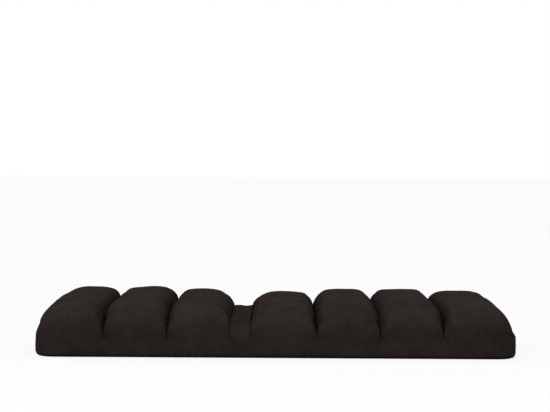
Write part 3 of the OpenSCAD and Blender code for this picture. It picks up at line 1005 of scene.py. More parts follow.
@dataclass
class Filling:
    """Blows the channels up, as fibre does under a cover with a little cloth to spare."""

    frames: int = 20
    quality: int = 6
    pressure: float = 4.0
    spare: float = 0.03
    cap: float = 6 * MM
    steady_band: Pair = (4 * MM, 44 * MM)
    foot_share: float = 0.2
    stiffness: float = 12.0
    bending: float = 1.2
    mass: float = 0.25
    drag: float = 4.0

    def _dress(self, piece: bpy.types.Object) -> None:
        """Makes a piece cloth that is held along its seams.

        Args:
            piece: the closed channel.
        """
        held = np.flatnonzero(read_attribute(piece, "held") > 0.5)
        group = piece.vertex_groups.new(name="held")
        group.add([int(k) for k in held], 1.0, "REPLACE")
        cloth = piece.modifiers.new("cloth", "CLOTH")
        cloth.point_cache.frame_start = 1
        cloth.point_cache.frame_end = self.frames
        settings = cloth.settings
        settings.quality = self.quality
        settings.mass = self.mass
        settings.tension_stiffness = settings.compression_stiffness = self.stiffness
        settings.shear_stiffness = self.stiffness / 2
        settings.bending_stiffness = self.bending
        settings.air_damping = self.drag
        settings.use_pressure = True
        settings.uniform_pressure_force = self.pressure
        settings.shrink_min = settings.shrink_max = -self.spare
        settings.vertex_group_mass = "held"
        settings.effector_weights.gravity = 0.0
        cloth.collision_settings.use_collision = False

    def _move(self, piece: bpy.types.Object, blown: Array) -> None:
        """Moves a channel towards its blown-up shape, less near its foot and by the cap at most.

        Args:
            piece: the channel.
            blown: its vertices at the end of the simulation.
        """
        before = points_of(piece)
        low, high = (before[:, 2].min() + band for band in self.steady_band)
        share = self.foot_share + (1 - self.foot_share) * smooth(before[:, 2], low, high)
        moved = (blown - before) * share[:, None]
        far = np.linalg.norm(moved, axis=1)
        eased = self.cap * np.tanh(far / self.cap)
        set_points(piece, before + moved * (eased / np.maximum(far, TINY))[:, None])
        log.info("%s: blown up, %.1f mm at most", piece.name, far.max() / MM)

    def blow(self, pieces: Sequence[bpy.types.Object]) -> None:
        """Runs the simulation on all the channels at once and applies its result.

        Args:
            pieces: the closed channels.
        """
        for piece in pieces:
            self._dress(piece)
        for number in range(1, self.frames + 1):
            bpy.context.scene.frame_set(number)
        depsgraph = bpy.context.evaluated_depsgraph_get()
        shapes = [points_of(piece.evaluated_get(depsgraph)) for piece in pieces]
        for piece, blown in zip(pieces, shapes):
            piece.modifiers.clear()
            piece.vertex_groups.clear()
            self._move(piece, blown)
        bpy.context.scene.frame_set(1)


# The cover's channels


class End(Enum):
    """How a channel ends along the chair."""

    CREASE = "sewn crease"
    ROUND = "rounded end"
    VALLEY = "wall at the main fold"


@dataclass
class Channel:
    """One quilted channel: a pad of fibre between two sewn creases."""

    node: str
    body: str
    low_end: End
    high_end: End
    seed: int
    crown_share: float = 0.5
    keep: Optional[float] = None
    rise: float = 0.0
    fill: float = 0.8
    wall_powers: Pair = (60.0, 2.0)
    round_powers: Pair = (2.6, 0.95)
    round_wall: float = 0.08
    valley_power: float = 2.05
    valley_wall: float = 0.55
    crease_power: float = 4.0
    crease_wall: float = 0.56
    side_power: float = 2.2
    side_wall: float = 0.8
    side_start: float = 0.35
    side_dip: float = 0.52
    dip_start: float = 0.7
    width_power: float = 4.8
    corner: float = 48 * MM
    drawn_in: float = 7 * MM
    drawn_power: int = 9
    foot_band: Pair = (4 * MM, 48 * MM)
    start_height: float = 0.965
    start_inset: float = 3 * MM
    rows: int = 60
    cols: int = 136
    fine_steps: int = 4001
    free_band: Pair = (1 * MM, 34 * MM)
    lumps: Wrinkle = Wrinkle(1.6 * MM, 150 * MM)
    small_lumps: Wrinkle = Wrinkle(0.8 * MM, 62 * MM)
    puckers: Wrinkle = Wrinkle(
        0.55 * MM, 24 * MM, stretch=(4.5, 1.0, 4.5), middle=66 * MM, width=26 * MM
    )
    folds: Wrinkle = Wrinkle(
        1.0 * MM, 13 * MM, stretch=(1.0, 6.0, 3.4), middle=62 * MM, width=17 * MM
    )
    fold_start: Pair = (0.42, 0.8)
    fold_stop: Pair = (0.93, 1.0)
    round_folds: float = 0.35
    slack: Wrinkle = Wrinkle(
        0.6 * MM, 46 * MM, stretch=(1.5, 4.0, 0.8), middle=30 * MM, width=18 * MM
    )
    ridge: float = 0.7 * MM
    ridge_place: Pair = (0.935, 0.011)
    ridge_stop: Pair = (0.8, 0.97)
    contact_gap: float = 0.15 * MM
    # Painted shade: how dark the foot and the creases are painted, and where on the crown it is lightest.
    foot_shade: float = 0.66
    crease_start: float = 0.76
    crease_shade: float = 0.3
    crown_band: float = 6 * MM

    def __post_init__(self) -> None:
        """Reads the channel's place from the frame."""
        low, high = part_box(self.node)
        self.x0, self.x1 = low.x, high.x
        self.base, self.crown = low.z, high.z + self.rise
        self.half_width = high.y
        self.peak = self.x0 + self.crown_share * (self.x1 - self.x0)

    def _ends(self) -> tuple[tuple[End, int, float], ...]:
        """Each end of the channel, with its direction and its x."""
        return (self.low_end, -1, self.x0), (self.high_end, 1, self.x1)

    def _x(self, places: Array) -> Array:
        """The x at places from -1 to 1 along the channel."""
        return self.peak + places * np.where(places < 0, self.peak - self.x0, self.x1 - self.peak)

    def _share(self, t: Array, v: Array) -> Array:
        """How high the skin stands, as a share of the channel's height.

        Args:
            t: places from -1 to 1 along the channel.
            v: places from -1 to 1 across it.

        Returns:
            The share at each place.
        """
        sideways = smooth(np.abs(v), self.side_start, 1.0)
        power = self.crease_power + (self.side_power - self.crease_power) * sideways
        wall = self.crease_wall + (self.side_wall - self.crease_wall) * sideways
        wall = wall - self.side_dip * smooth(np.abs(v), self.dip_start, 1.0)
        kinds = {
            End.CREASE: (wall, arch(t, power)),
            End.VALLEY: (self.valley_wall, arch(t, self.valley_power)),
            End.ROUND: (self.round_wall, bow(t, *self.round_powers)),
        }
        upright = bow(t, *self.wall_powers)
        shares = {end: part * upright + (1 - part) * rest for end, (part, rest) in kinds.items()}
        return np.where(t < 0, shares[self.low_end], shares[self.high_end])

    def _corner_inset(self, x: Array) -> Array:
        """How far a rounded corner, seen from above, takes the side in.

        Args:
            x: places along the chair.

        Returns:
            The inset at each place.
        """
        inset = np.zeros_like(x)
        for end, sign, edge in self._ends():
            if end is End.ROUND:
                near = np.clip(self.corner - (edge - x) * sign, 0, self.corner)
                inset += self.corner - np.sqrt(self.corner**2 - near**2)
        return inset

    def _skin(self) -> tuple[Array, dict[str, Array]]:
        """Works out the channel's skin.

        Returns:
            The points, row by row, and for each point its place along and across the skin.
        """
        fine = fine_places(self.fine_steps)
        tall = (self.crown - self.base) * self.start_height
        rise = self._share(fine, np.zeros_like(fine)) * tall
        ts, self.length = even_places(self._x(fine), rise, fine, self.rows)
        up = arch(fine, self.width_power) * tall
        vs, self.width = even_places(fine * self.half_width, up, fine, self.cols)
        t, v = np.meshgrid(ts, vs, indexing="ij")
        x = self._x(t)
        z = self.base + tall * self._share(t, v) * arch(v, self.width_power)
        side = self.half_width - self._corner_inset(x)
        inset = self.start_inset
        creased = np.zeros_like(t)
        for end, sign, _ in self._ends():
            if end is not End.ROUND:
                creased += np.clip(t * sign, 0, 1) ** self.drawn_power
        low, high = self.foot_band
        off_base = smooth(z, self.base + low, self.base + high)
        y = v * (side - (self.drawn_in * creased + inset) * off_base)
        along, across = np.meshgrid(
            np.linspace(0, self.length, self.rows),
            np.linspace(0, self.width, self.cols),
            indexing="ij",
        )
        marks = {"t": t, "v": v, "along": along, "across": across}
        points = np.stack([x.ravel(), y.ravel(), z.ravel()], axis=1)
        return points, {name: values.ravel() for name, values in marks.items()}

    def mesh(self) -> bpy.types.Object:
        """Makes the closed channel.

        Returns:
            Its skin, and a flat bottom on the backing cloth, in one piece.
        """
        points, marks = self._skin()
        rows, cols = self.rows, self.cols
        faces = grid_faces(rows, cols)
        rim = [i * cols for i in range(rows)]
        rim += [(rows - 1) * cols + j for j in range(1, cols)]
        rim += [i * cols + cols - 1 for i in range(rows - 2, -1, -1)]
        rim += [j for j in range(cols - 2, 0, -1)]
        centre = len(points)
        points = np.vstack([points, [self.peak, 0, self.base]])
        faces += [(centre, rim[(k + 1) % len(rim)], rim[k]) for k in range(len(rim))]
        piece = make_piece(self.node + "_cushion", points, faces)
        for name, values in marks.items():
            write_attribute(piece, name, np.append(values, values.mean()))
        held = np.zeros(len(points))
        held[[*rim, centre]] = 1
        write_attribute(piece, "held", held)
        return piece

    def _refine(self, piece: bpy.types.Object) -> None:
        """Subdivides the skin once, keeping the sewn rim sharp.

        Args:
            piece: the blown-up channel.
        """
        mesh = piece.data
        held = read_attribute(piece, "held") > 0.5
        ends = np.zeros(len(mesh.edges) * 2, np.int32)
        mesh.edges.foreach_get("vertices", ends)
        rim = held[ends.reshape(-1, 2)].all(axis=1)
        made = mesh.attributes.new("crease_edge", "FLOAT", "EDGE")
        made.data.foreach_set("value", rim.astype(np.float32))
        finer = piece.modifiers.new("finer", "SUBSURF")
        finer.levels = finer.render_levels = 1
        settle(piece)

    def _wrinkle(self, piece: bpy.types.Object) -> None:
        """Adds the lumps of the filling, the puckers at the seams and the soft side edge.

        Args:
            piece: the refined channel.
        """
        points = points_of(piece)
        t, v = read_attribute(piece, "t"), read_attribute(piece, "v")
        along, across = read_attribute(piece, "along"), read_attribute(piece, "across")
        from_side = np.minimum(across, self.width - across)
        depth = self.lumps.relief(self.seed, points)
        depth += self.small_lumps.relief(self.seed + 1, points)
        puckers = self.puckers.relief(self.seed + 2, points)
        folds = self.folds.relief(self.seed + 3, points) * self.folds.band(from_side)
        folds *= smooth(np.abs(t), *self.fold_start) * (1 - smooth(np.abs(t), *self.fold_stop))
        for end, sign, _ in self._ends():
            folded = folds * (t * sign > 0)
            if end is End.ROUND:
                depth += folded * self.round_folds
            else:
                run = along if sign < 0 else self.length - along
                depth += folded + puckers * self.puckers.band(run)
        ridge = bell(np.abs(v), *self.ridge_place) * (1 - smooth(np.abs(t), *self.ridge_stop))
        depth += self.ridge * ridge
        depth += self.slack.relief(self.seed + 4, points) * self.slack.band(from_side)
        low, high = self.free_band
        free = smooth(points[:, 2], self.base + low, self.base + high)
        points += normals_of(piece) * (depth * free)[:, None]
        for end, sign, edge in self._ends():
            if end is not End.ROUND:
                limit = edge - sign * self.contact_gap
                points[:, 0] -= np.clip((points[:, 0] - limit) * sign, 0, None) * sign
        points[:, 2] = np.maximum(points[:, 2], self.base)
        set_points(piece, points)

    def _painted_shade_levels(self, piece: bpy.types.Object) -> Array:
        """Works out the channel's painted shade.

        Args:
            piece: the wrinkled channel.

        Returns:
            The level of painted shade at each vertex: darkest deep in a crease and low down, lightest on the
            crown.
        """
        t = read_attribute(piece, "t")
        high = smooth(points_of(piece)[:, 2], self.base, self.crown - self.crown_band)
        creased = smooth(np.abs(t), self.crease_start, 1.0)
        for end, sign, _ in self._ends():
            if end is End.ROUND:
                creased = np.where(t * sign > 0, 0, creased)
        shade_level = self.foot_shade + (1 - self.foot_shade) * high
        return shade_level * (1 - self.crease_shade * creased)

    def dress(self, piece: bpy.types.Object) -> None:
        """Finishes the blown-up channel and joins it to its body.

        Args:
            piece: the channel.
        """
        self._refine(piece)
        self._wrinkle(piece)
        # The cloth carries painted shade: darker in the creases and lower down, lighter on the crown.
        finish_cloth(piece, self._painted_shade_levels(piece))
        piece.data.set_sharp_from_angle(angle=SKIN_EDGE)
        TOP_SUEDE.paint(piece)
        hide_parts(self.node)
        if self.body == "head":
            Joint.head_bend(piece)
        else:
            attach(piece, self.body)
            if self.keep is not None:
                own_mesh(piece)
        report(piece, self.body)


# The joints that cloth crosses


class Joint:
    """Where cloth bends at the two hinges."""

    HEAD_BEND = 60 * MM

    @classmethod
    def head_bend(cls, piece: bpy.types.Object) -> None:
        """Bends a piece from the back to the head, just past the head crease."""
        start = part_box("back_channel_upper")[0].x
        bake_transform(piece, "back", "head", start=(start, 0, 0), end=(start - cls.HEAD_BEND, 0, 0))

    @staticmethod
    def fold_bend(piece: bpy.types.Object, node: str) -> None:
        """Bends a piece from the seat to the back, across the gap that a CAD node spans."""
        low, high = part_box(node)
        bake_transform(piece, "seat", "back", start=(high.x, 0, 0), end=(low.x, 0, 0))


# The base


@dataclass
class Outline:
    """A stretch of the base from above: open at the fold, with two rounded corners at its end.

    A stretch with no corner radius is open at both ends.
    """

    near: float
    far: float
    half_width: float
    corner: float = 0.0
    step: float = 4 * MM
    arc_steps: int = 16
    cross_step: float = 7 * MM

    def __post_init__(self) -> None:
        """Works out which way the stretch runs."""
        self.way = 1.0 if self.far > self.near else -1.0

    def rims(self) -> list[tuple[Array, Array]]:
        """Walks round the stretch.

        Returns:
            For each rim its points, and the outward direction at each point.
        """
        straight = abs(self.far - self.near) - self.corner
        count = max(2, round(straight / self.step) + 1)
        runs = np.linspace(0, straight, count)
        points = [(self.near + self.way * run, -self.half_width) for run in runs]
        ways = [(0.0, -1.0)] * count
        if self.corner > 0:
            centre = self.far - self.way * self.corner
            reach = self.half_width - self.corner
            for turn in np.linspace(0, 0.5 * math.pi, self.arc_steps + 1)[1:]:
                out = (self.way * math.sin(turn), -math.cos(turn))
                points.append((centre + self.corner * out[0], -reach + self.corner * out[1]))
                ways.append(out)
        left, left_ways = np.array(points), np.array(ways)
        turned = np.array([1, -1])
        right, right_ways = (left * turned)[::-1], (left_ways * turned)[::-1]
        if self.corner == 0:
            return [(left, left_ways), (right, right_ways)]
        cross = np.linspace(-reach, reach, round(2 * reach / self.cross_step) + 1)[1:-1]
        end = np.stack([np.full(len(cross), self.far), cross], axis=1)
        end_ways = np.tile([self.way, 0.0], (len(cross), 1))
        return [(np.vstack([left, end, right]), np.vstack([left_ways, end_ways, right_ways]))]

    def depth(self, points: Array) -> tuple[Array, Array]:
        """How far each point lies inside the outline.

        Args:
            points: the points, in metres.

        Returns:
            The distance from the side or end, and the inward direction there.
        """
        side = self.half_width - np.abs(points[:, 1])
        inward_y = -np.sign(points[:, 1])
        if self.corner == 0:
            return side, np.stack([np.zeros(len(points)), inward_y], axis=1)
        end = (self.far - points[:, 0]) * self.way
        over = np.stack([self.corner - end, self.corner - side], axis=1).clip(0, None)
        reach = np.linalg.norm(over, axis=1)
        cornered = (over > 0).all(axis=1)
        distance = np.where(cornered, self.corner - reach, np.minimum(end, side))
        share = over / np.maximum(reach, TINY)[:, None]
        share_x = np.where(cornered, share[:, 0], end < side)
        share_y = np.where(cornered, share[:, 1], end >= side)
        return distance, np.stack([-self.way * share_x, inward_y * share_y], axis=1)

    def columns(self, inset: float, fine: Sequence[float]) -> tuple[Array, Array]:
        """Places along the stretch, closer together near its rounded end.

        Args:
            inset: how far the columns keep inside the outline.
            fine: distances from the end of the close columns.

        Returns:
            The x of each column and its half width.
        """
        length = abs(self.far - self.near)
        if self.corner == 0:
            runs = np.linspace(0, length, round(length / MM) + 1)
            return self.near + self.way * runs, np.full(len(runs), self.half_width - inset)
        length -= inset
        plain = length - fine[-1]
        even = np.linspace(0, plain, round(plain / self.step) + 1)
        runs = np.concatenate([even, length - np.array(fine[::-1])[1:]])
        radius = self.corner - inset
        near_end = np.clip(radius - (length - runs), 0, radius)
        widths = self.half_width - inset - (radius - np.sqrt(radius**2 - near_end**2))
        return self.near + self.way * runs, widths


@dataclass
class Profile:
    """The base seen from its end: the side's swell, the turn at the floor and the seams."""

    height: float
    turn: float = 13 * MM
    floor: float = 0.6 * MM
    seam: float = 3.2 * MM
    swell: float = 0.9 * MM
    groove: float = 0.15 * MM
    groove_width: float = 1.2 * MM
    top_band: float = 5 * MM
    rings: tuple[int, int, int] = (6, 14, 8)
    lip: float = 5 * MM
    lip_drop: float = 0.25 * MM
    tape_band: Pair = (1.0 * MM, 5.8 * MM)
    tape_rings: int = 9
    tape_proud: float = 0.35 * MM
    tape_power: float = 2.0

    def _turned(self, z: Array) -> Array:
        """Inset of the turn at the floor."""
        share = np.clip((self.turn - z) / (self.turn - self.floor), 0, 1)
        return self.turn * (1 - np.sqrt(1 - share**2))

    def side_share(self, z: Array) -> Array:
        """Places from 0 at the underside's seam to 1 at the top of the side."""
        return np.clip((z - self.seam) / (self.height - self.seam), 0, 1)

    def side_inset(self, z: Array) -> Array:
        """How far the side lies in at each height."""
        swell = self.swell * np.sin(math.pi * self.side_share(z)) ** 2
        return self._turned(z) - swell + self.groove * bell(z, self.height, self.groove_width)

    def side_rings(self) -> tuple[Array, Array]:
        """Lays out the side's rings, from the underside's seam up to the channels.

        Returns:
            The insets and heights of the rings, with a lip that is sewn under the channels.
        """
        marks = (self.seam, self.turn, self.height - self.top_band, self.height)
        parts = [
            np.linspace(low, high, count)
            for low, high, count in zip(marks, marks[1:], self.rings)
        ]
        heights = np.concatenate([parts[0], *(part[1:] for part in parts[1:])])
        insets = np.append(self.side_inset(heights), self.lip)
        return insets, np.append(heights, self.height - self.lip_drop)

    def tape(self) -> tuple[Array, Array]:
        """Lays out the edge tape.

        Returns:
            The insets and heights of its rings.
        """
        heights = np.linspace(*self.tape_band, self.tape_rings)
        bulge = arch(np.linspace(-1, 1, self.tape_rings), self.tape_power)
        return self._turned(heights) - self.tape_proud * (1 + bulge), heights

    def under_height(self, depth: Array) -> Array:
        """Height of the underside at a distance inside the outline."""
        share = np.clip((self.turn - depth) / self.turn, 0, 1)
        return self.turn - (self.turn - self.floor) * np.sqrt(1 - share**2)

    def seam_inset(self) -> float:
        """Inset of the seam between the side and the underside."""
        return float(self._turned(np.array(self.seam)))


@dataclass
class Stretch:
    """One stretch of the base: its side band, underside and edge tape."""

    name: str
    outline: Outline
    profile: Profile
    join: Callable[[bpy.types.Object], None]
    seed: int
    side_nodes: tuple[str, ...]
    under_nodes: tuple[str, ...]
    creases: tuple[float, ...] = ()
    cloth: float = 1.4 * MM
    under_share: float = 0.8
    tape_cloth: float = 0.6 * MM
    slack: Wrinkle = Wrinkle(0.7 * MM, 120 * MM, (1.0, 1.0, 0.6))
    small_slack: Wrinkle = Wrinkle(0.245 * MM, 34 * MM, (1.0, 1.0, 2.0))
    dimple: float = 2.2 * MM
    dimple_drop: float = 5 * MM
    dimple_size: Pair = (7 * MM, 9 * MM)
    top_row: float = 2.6 * MM
    tape_row: float = 4.4 * MM
    edge_steps_mm: tuple[float, ...] = (0, 0.4, 0.9, 1.6, 2.6, 4, 6, 9, 13, 18, 24, 31, 40)
    inner_steps: int = 24

    def _skin(self, insets: Array, heights: Array) -> tuple[Array, Array, list]:
        """Works out a skin that follows the rims.

        Args:
            insets: how far inside the outline each of its rings lies.
            heights: the rings' heights.

        Returns:
            Its points, the outward direction at each of them, and its faces.
        """
        points, ways, faces = [], [], []
        for rim, out in self.outline.rims():
            flat = rim[:, None, :] - out[:, None, :] * insets[None, :, None]
            tall = np.broadcast_to(heights, flat.shape[:2])[:, :, None]
            start = sum(len(p) for p in points)
            points.append(np.concatenate([flat, tall], axis=2).reshape(-1, 3))
            wide = np.concatenate([out, np.zeros((len(out), 1))], axis=1)
            ways.append(np.repeat(wide, len(heights), axis=0))
            made = grid_faces(len(rim), len(heights))
            if (out[0][1] < 0) != (self.outline.way > 0) and self.outline.corner > 0:
                made = [face[::-1] for face in made]
            faces += [tuple(start + k for k in face) for face in made]
        return np.vstack(points), np.vstack(ways), faces

    def _relief(self, points: Array, ways: Array) -> Array:
        """How far the side stands out from its plain profile.

        Args:
            points: points of the side.
            ways: the outward direction at each of them.

        Returns:
            The height at each point.
        """
        loose = np.sin(math.pi * self.profile.side_share(points[:, 2]))
        depth = self.slack.relief(self.seed, points) * loose
        depth += self.small_slack.relief(self.seed + 1, points) * loose
        length, height = self.dimple_size
        low = bell(points[:, 2], self.profile.height - self.dimple_drop, height)
        for place in self.creases:
            depth -= self.dimple * bell(points[:, 0], place, length) * np.abs(ways[:, 1]) * low
        return depth

    def _join(self, piece: bpy.types.Object) -> None:
        """Joins a finished piece to its bodies."""
        self.join(piece)
        report(piece, self.name)

    def _finish(self, piece: bpy.types.Object, finish: Finish) -> None:
        """Dresses a piece of cloth and joins it to its bodies.

        Args:
            piece: the piece.
            finish: its finish.
        """
        finish_cloth(piece)
        finish.paint(piece)
        self._join(piece)

    def side(self) -> None:
        """Makes the side band: soft padded cloth, with a dimple under each sewn crease."""
        points, ways, faces = self._skin(*self.profile.side_rings())
        points += ways * self._relief(points, ways)[:, None]
        piece = make_piece(self.name + "_side_band", points, faces)
        thicken(piece, self.cloth)
        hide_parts(*self.side_nodes)
        # The side band gets the suede that is painted darker as painted shade.
        self._finish(piece, SHADED_SIDE_SUEDE)

    def tape(self) -> None:
        """Makes the tape that binds the bottom edge. Its near-black colour is partly painted shadow,
        standing in for the contact shadow at the floor.
        """
        points, _, faces = self._skin(*self.profile.tape())
        piece = make_piece(self.name + "_edge_tape", points, faces)
        thicken(piece, self.tape_cloth)
        self._finish(piece, EDGE_TAPE_AND_SHADOW)

    def under(self) -> None:
        """Makes the underside cloth, turned up at its edge."""
        half_width = self.outline.half_width
        fine = tuple(MM * step for step in self.edge_steps_mm)
        xs, widths = self.outline.columns(self.profile.seam_inset(), fine)
        inner = np.linspace(fine[-1], half_width, self.inner_steps)[1:]
        places = 1 - np.concatenate([fine, inner]) / half_width
        across = np.concatenate([-places, places[::-1][1:]])
        points = np.zeros((len(xs), len(across), 3))
        points[:, :, 0] = xs[:, None]
        points[:, :, 1] = widths[:, None] * across[None, :]
        points = points.reshape(-1, 3)
        depth, _ = self.outline.depth(points)
        points[:, 2] = self.profile.under_height(depth)
        faces = grid_faces(len(xs), len(across))
        if self.outline.way > 0:
            faces = [face[::-1] for face in faces]
        piece = make_piece(self.name + "_underside", points, faces)
        thicken(piece, self.cloth * self.under_share)
        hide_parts(*self.under_nodes)
        self._finish(piece, UNDER_CLOTH)

    def stitches(self, sewing: Sewing) -> None:
        """Sews the row of stitches under the channels, and the one along the edge tape.

        Args:
            sewing: what sews them.
        """
        rows = []
        top = self.profile.height - self.top_row
        for height, proud in ((top, 0.0), (self.tape_row, self.tape_cloth)):
            heights = np.array([height])
            points, ways, _ = self._skin(self.profile.side_inset(heights), heights)
            points += ways * (self._relief(points, ways) + proud)[:, None]
            count = len(points) // len(self.outline.rims())
            rows += [points[k : k + count] for k in range(0, len(points), count)]
        self._join(sewing.sew(self.name + "_stitches", rows))

    def build(self, sewing: Sewing, dots: GripDots) -> None:
        """Makes the stretch's pieces.

        Args:
            sewing: what sews the stitches.
            dots: what prints the grip dots.
        """
        self.side()
        self.tape()
        self.under()
        self.stitches(sewing)
        if self.outline.corner > 0:
            name = self.name + "_grip_dots"
            self._join(dots.print_on(name, self.outline, self.profile.floor))


@dataclass
class FoamSlab:
    """A foam slab of the core, with its lower edge softened under the cover."""

    node: str
    body: str
    outline: Outline
    profile: Profile
    levels: tuple[float, ...] = (2.2 * MM, 3.5 * MM, 5 * MM, 7 * MM, 10 * MM)
    weld: float = 0.01 * MM
    skin: float = 4 * MM
    lift: float = 1.0 * MM
    lift_band: Pair = (1 * MM, 12 * MM)

    def build(self) -> None:
        """Copies the slab, cuts it into layers and rounds its lower edge."""
        shape = bmesh.new()
        shape.from_mesh(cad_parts[self.node].data)
        bmesh.ops.remove_doubles(shape, verts=shape.verts, dist=self.weld)
        for level in self.levels:
            whole = [*shape.verts, *shape.edges, *shape.faces]
            bmesh.ops.bisect_plane(shape, geom=whole, plane_co=(0, 0, level), plane_no=(0, 0, 1))
        mesh = bpy.data.meshes.new(self.node + "_core")
        shape.to_mesh(mesh)
        shape.free()
        piece = stand(self.node + "_core", mesh)
        points = points_of(piece)
        depth, inward = self.outline.depth(points)
        turned = self.profile.side_inset(points[:, 2]).clip(0, None)
        points[:, :2] += inward * (turned * (depth < self.skin))[:, None]
        points[:, 2] += self.lift * (1 - smooth(points[:, 2], *self.lift_band))
        set_points(piece, points)
        CORE_FOAM.paint(piece)
        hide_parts(self.node)
        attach(piece, self.body)
        report(piece, self.body)


@dataclass
class Valley:
    """The cloth over the main fold, between the two walls of the channels."""

    node: str = "fold_top_cloth"
    columns: int = 31
    cols: int = 150
    fine_steps: int = 3001
    power: float = 6.0
    cloth: float = 1.6 * MM
    sag: float = 2.2 * MM
    folds: Wrinkle = Wrinkle(1.6 * MM, 17 * MM, (1.0, 5.0, 5.0))
    small_folds: Wrinkle = Wrinkle(0.8 * MM, 40 * MM)
    loose_from: float = 14 * MM
    tuck: float = 1.5 * MM
    tuck_place: float = 0.9999
    flap: float = 8 * MM
    flap_drop: float = 20 * MM
    flap_inset: float = 9 * MM
    flap_columns: int = 3
    seam_column: int = 5
    seam_margin: int = 8
    seed: int = 83

    def _sheet(self) -> tuple[Array, Array]:
        """Works out the cloth before it creases, with a flap under the channel on either side.

        Returns:
            Its points, column by column, and how loose the cloth is at each.
        """
        low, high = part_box(self.node)
        rise = high.z - low.z
        fine = fine_places(self.fine_steps)
        up = arch(fine, self.power) * rise
        vs, _ = even_places(fine * high.y, up, fine, self.cols)
        flap = np.linspace(self.flap / self.flap_columns, self.flap, self.flap_columns)
        middle = np.linspace(low.x, high.x, self.columns)
        xs = np.concatenate([low.x - flap[::-1], middle, high.x + flap])
        x, v = np.meshgrid(xs, vs, indexing="ij")
        tucked = np.clip(np.maximum(low.x - x, x - high.x) / self.flap, 0, 1)
        y = v * (high.y - self.flap_inset * tucked)
        z = low.z + arch(v, self.power) * (rise - self.flap_drop * tucked)
        z -= self.tuck * (np.abs(v) > self.tuck_place)
        u = (2 * x - low.x - high.x) / (high.x - low.x)
        loose = np.clip(1 - u**2, 0, 1) * smooth(z, low.z, low.z + self.loose_from)
        return np.stack([x.ravel(), y.ravel(), z.ravel()], axis=1), loose.ravel()

    def build(self, sewing: Sewing) -> None:
        """Makes the cloth, which sags a little and has loose folds along the hinge line.

        Args:
            sewing: what sews its stitches.
        """
        points, loose = self._sheet()
        count = len(points) // self.cols
        piece = make_piece("fold_valley_cloth", points, grid_faces(count, self.cols))
        folded = self.folds.relief(self.seed, points)
        folded += self.small_folds.relief(self.seed + 1, points)
        points += normals_of(piece) * (loose * (folded - self.sag))[:, None]
        set_points(piece, points)
        columns = points.reshape(count, self.cols, 3)[:, self.seam_margin : -self.seam_margin]
        seams = [columns[self.seam_column], columns[count - 1 - self.seam_column]]
        thicken(piece, self.cloth)
        finish_cloth(piece)
        TOP_SUEDE.paint(piece)
        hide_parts(self.node)
        stitches = sewing.sew("fold_valley_stitches", seams)
        for part in (piece, stitches):
            Joint.fold_bend(part, self.node)
            report(part, "seat and back")


# The studio


@dataclass(frozen=True)
class Lamp:
    """A wide soft lamp that is aimed at the chair."""

    name: str
    place: Triple
    size: float
    power: float
    aim: Triple = (0.0, 0.0, 0.05)

    def build(self) -> None:
        """Hangs the lamp."""
        data = bpy.data.lights.new(self.name, "AREA")
        data.size = self.size
        data.energy = self.power
        lamp = stand(self.name, data)
        lamp.location = self.place
        way = Vector(self.aim) - Vector(self.place)
        lamp.rotation_euler = way.to_track_quat("-Z", "Y").to_euler()


